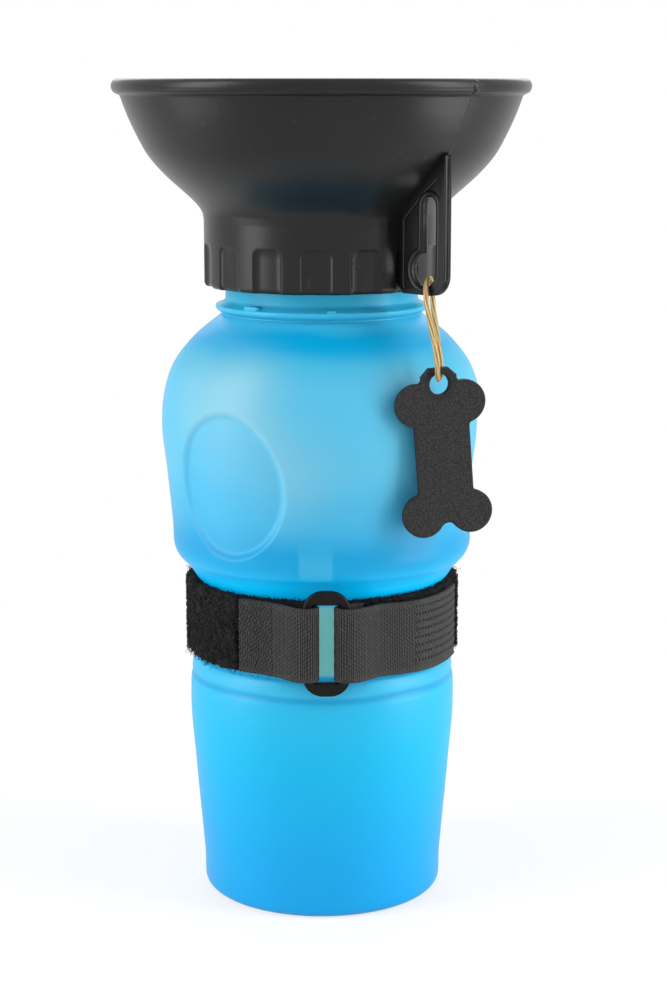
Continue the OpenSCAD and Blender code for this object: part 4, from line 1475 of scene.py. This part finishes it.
tag_place = (Matrix.Translation(MM * TAG_AT) @ Matrix.Rotation(math.radians(TAG_AZIMUTH), 4, "Z")
             @ STAND_UP @ Matrix.Rotation(math.radians(TAG_ROLL), 4, "Z"))
tag = plate("bone_tag_rubber", [bone, hole], TAG_THICK, 0.4, tag_place, steps=5)
report(tag)

# %% [markdown]
# The rubber has a leather grain pressed into it: small flat pebbles with fine creases
# between them. Cells give the pebbles and noise makes them uneven. The lug was left
# smooth, so the grain fades out round the hole.

# %% Grained rubber
rubber = Finish("grained_rubber")
warp = rubber.make("ShaderNodeTexNoise", Vector=rubber.place, Scale=900.0, Detail=2.0)["Color"]
warped = rubber.make("ShaderNodeVectorMath", {"operation": "MULTIPLY_ADD"},
                     Vector=[warp, (0.0005, 0.0005, 0.0005), rubber.place])["Vector"]
pebble = rubber.cells(0.00085, place=warped, feature="DISTANCE_TO_EDGE")
crease = rubber.step(pebble, 0.02, 0.24)
fine = rubber.noise(0.0003, detail=3)
plain_lug = 1 - rubber.step(rubber.away(tuple(MM * TAG_AT)), 0.0036, 0.0046)
relief = crease * (1 - plain_lug) * 0.8 + fine * 0.3
colour = rubber.blend(crease * (0.6 + fine * 0.5), (0.013, 0.013, 0.013), (0.028, 0.028, 0.027))
colour = rubber.blend(plain_lug * 0.7, colour, (0.012, 0.012, 0.012))
rubber.surface(Base_Color=colour, Roughness=0.62 - crease * 0.1 + fine * 0.08, Specular_IOR_Level=0.2,
               Normal=rubber.bump(relief, 0.00010, 0.6))
finish_piece(tag, "tag", rubber.material, ["bone_tag"])
print("the tag hangs")

# %% [markdown]
# ## Floor and light
#
# The bottle stands on a pale seamless floor that fades to white some way out, so its
# far edge doesn't show. To the camera, and to anything glossy or clear, the world is
# plain white too. For everything else it is a soft grey, so that the object is lit at
# a plain level. Two large soft boxes stand left and right of the camera, as the broad
# reflections on the bottle say, and a third behind it lights the edges. Two small
# cards low on the floor throw a little light up under the bowl, whose flared wall
# looks down and would see nothing bright without them.

# %% Floor
def to_camera(rays):
    """1 where the camera looks, also in a reflection or through something clear."""
    return rays["Is Camera Ray"].most(rays["Is Glossy Ray"]).most(rays["Is Transmission Ray"])


floor_mesh = bpy.data.meshes.new("floor")
span = 6.0
floor_mesh.from_pydata([(-span, -span, 0), (span, -span, 0), (span, span, 0), (-span, span, 0)], [],
                       [(0, 1, 2, 3)])
floor_piece = bpy.data.objects.new("floor", floor_mesh)
bpy.context.scene.collection.objects.link(floor_piece)
paper = Finish("floor_paper")
tooth = paper.noise(0.004, detail=3)
diffuse = paper.make("ShaderNodeBsdfDiffuse", Color=(0.915, 0.915, 0.915), Roughness=tooth * 0.2)["BSDF"]
white = paper.make("ShaderNodeEmission", Color=(1, 1, 1), Strength=1.0)["Emission"]
far = paper.step(paper.away((0, 0, 0)), 0.07, 0.34)
seen = to_camera(paper.make("ShaderNodeLightPath"))
sheet = paper.make("ShaderNodeMixShader", Fac=seen * (0.68 + far * 0.32), Shader=[diffuse, white])
feed(paper.end.inputs["Surface"], sheet["Shader"])
floor_mesh.materials.append(paper.material)
floor_piece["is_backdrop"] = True

world = bpy.data.worlds.new("studio")
bpy.context.scene.world = world
world.use_nodes = True
sky = world.node_tree
sky.nodes.clear()
background = sky.nodes.new("ShaderNodeBackground")
path_node = sky.nodes.new("ShaderNodeLightPath")
seen = to_camera({s.name: Socket(s) for s in path_node.outputs})
background.inputs["Color"].default_value = (1, 1, 1, 1)
feed(background.inputs["Strength"], 0.55 + seen * 0.45)
world_end = sky.nodes.new("ShaderNodeOutputWorld")
sky.links.new(background.outputs["Background"], world_end.inputs["Surface"])
print("floor and world are white to the camera")

# %% Lamps
AIM = Vector((0, 0, 0.13))


def soft_box(name, azimuth, distance, z, width, height, watts):
    """A soft box at an azimuth, facing the bottle above its middle."""
    data = bpy.data.lights.new(name, "AREA")
    data.shape = "RECTANGLE"
    data.size, data.size_y = width, height
    data.energy = watts
    lamp = bpy.data.objects.new(name, data)
    lamp.location = around(azimuth, distance, z)
    lamp.rotation_euler = (AIM - lamp.location).to_track_quat("-Z", "Y").to_euler()
    lamp.visible_camera = False
    bpy.context.scene.collection.objects.link(lamp)


soft_box("left_box", -68, 0.80, 0.46, 0.40, 0.9, 6.2)
soft_box("right_box", 72, 0.80, 0.46, 0.40, 0.9, 6.2)
soft_box("left_card", -76, 0.34, 0.012, 0.20, 0.16, 0.22)
soft_box("right_card", 76, 0.32, 0.012, 0.20, 0.16, 0.42)
soft_box("back_box", 180, 1.2, 0.8, 1.2, 0.8, 6)
bpy.context.scene.view_settings.view_transform = "Standard"

# %% Close
low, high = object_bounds()
print("visual size in mm:", [round(1000 * x, 1) for x in high - low])
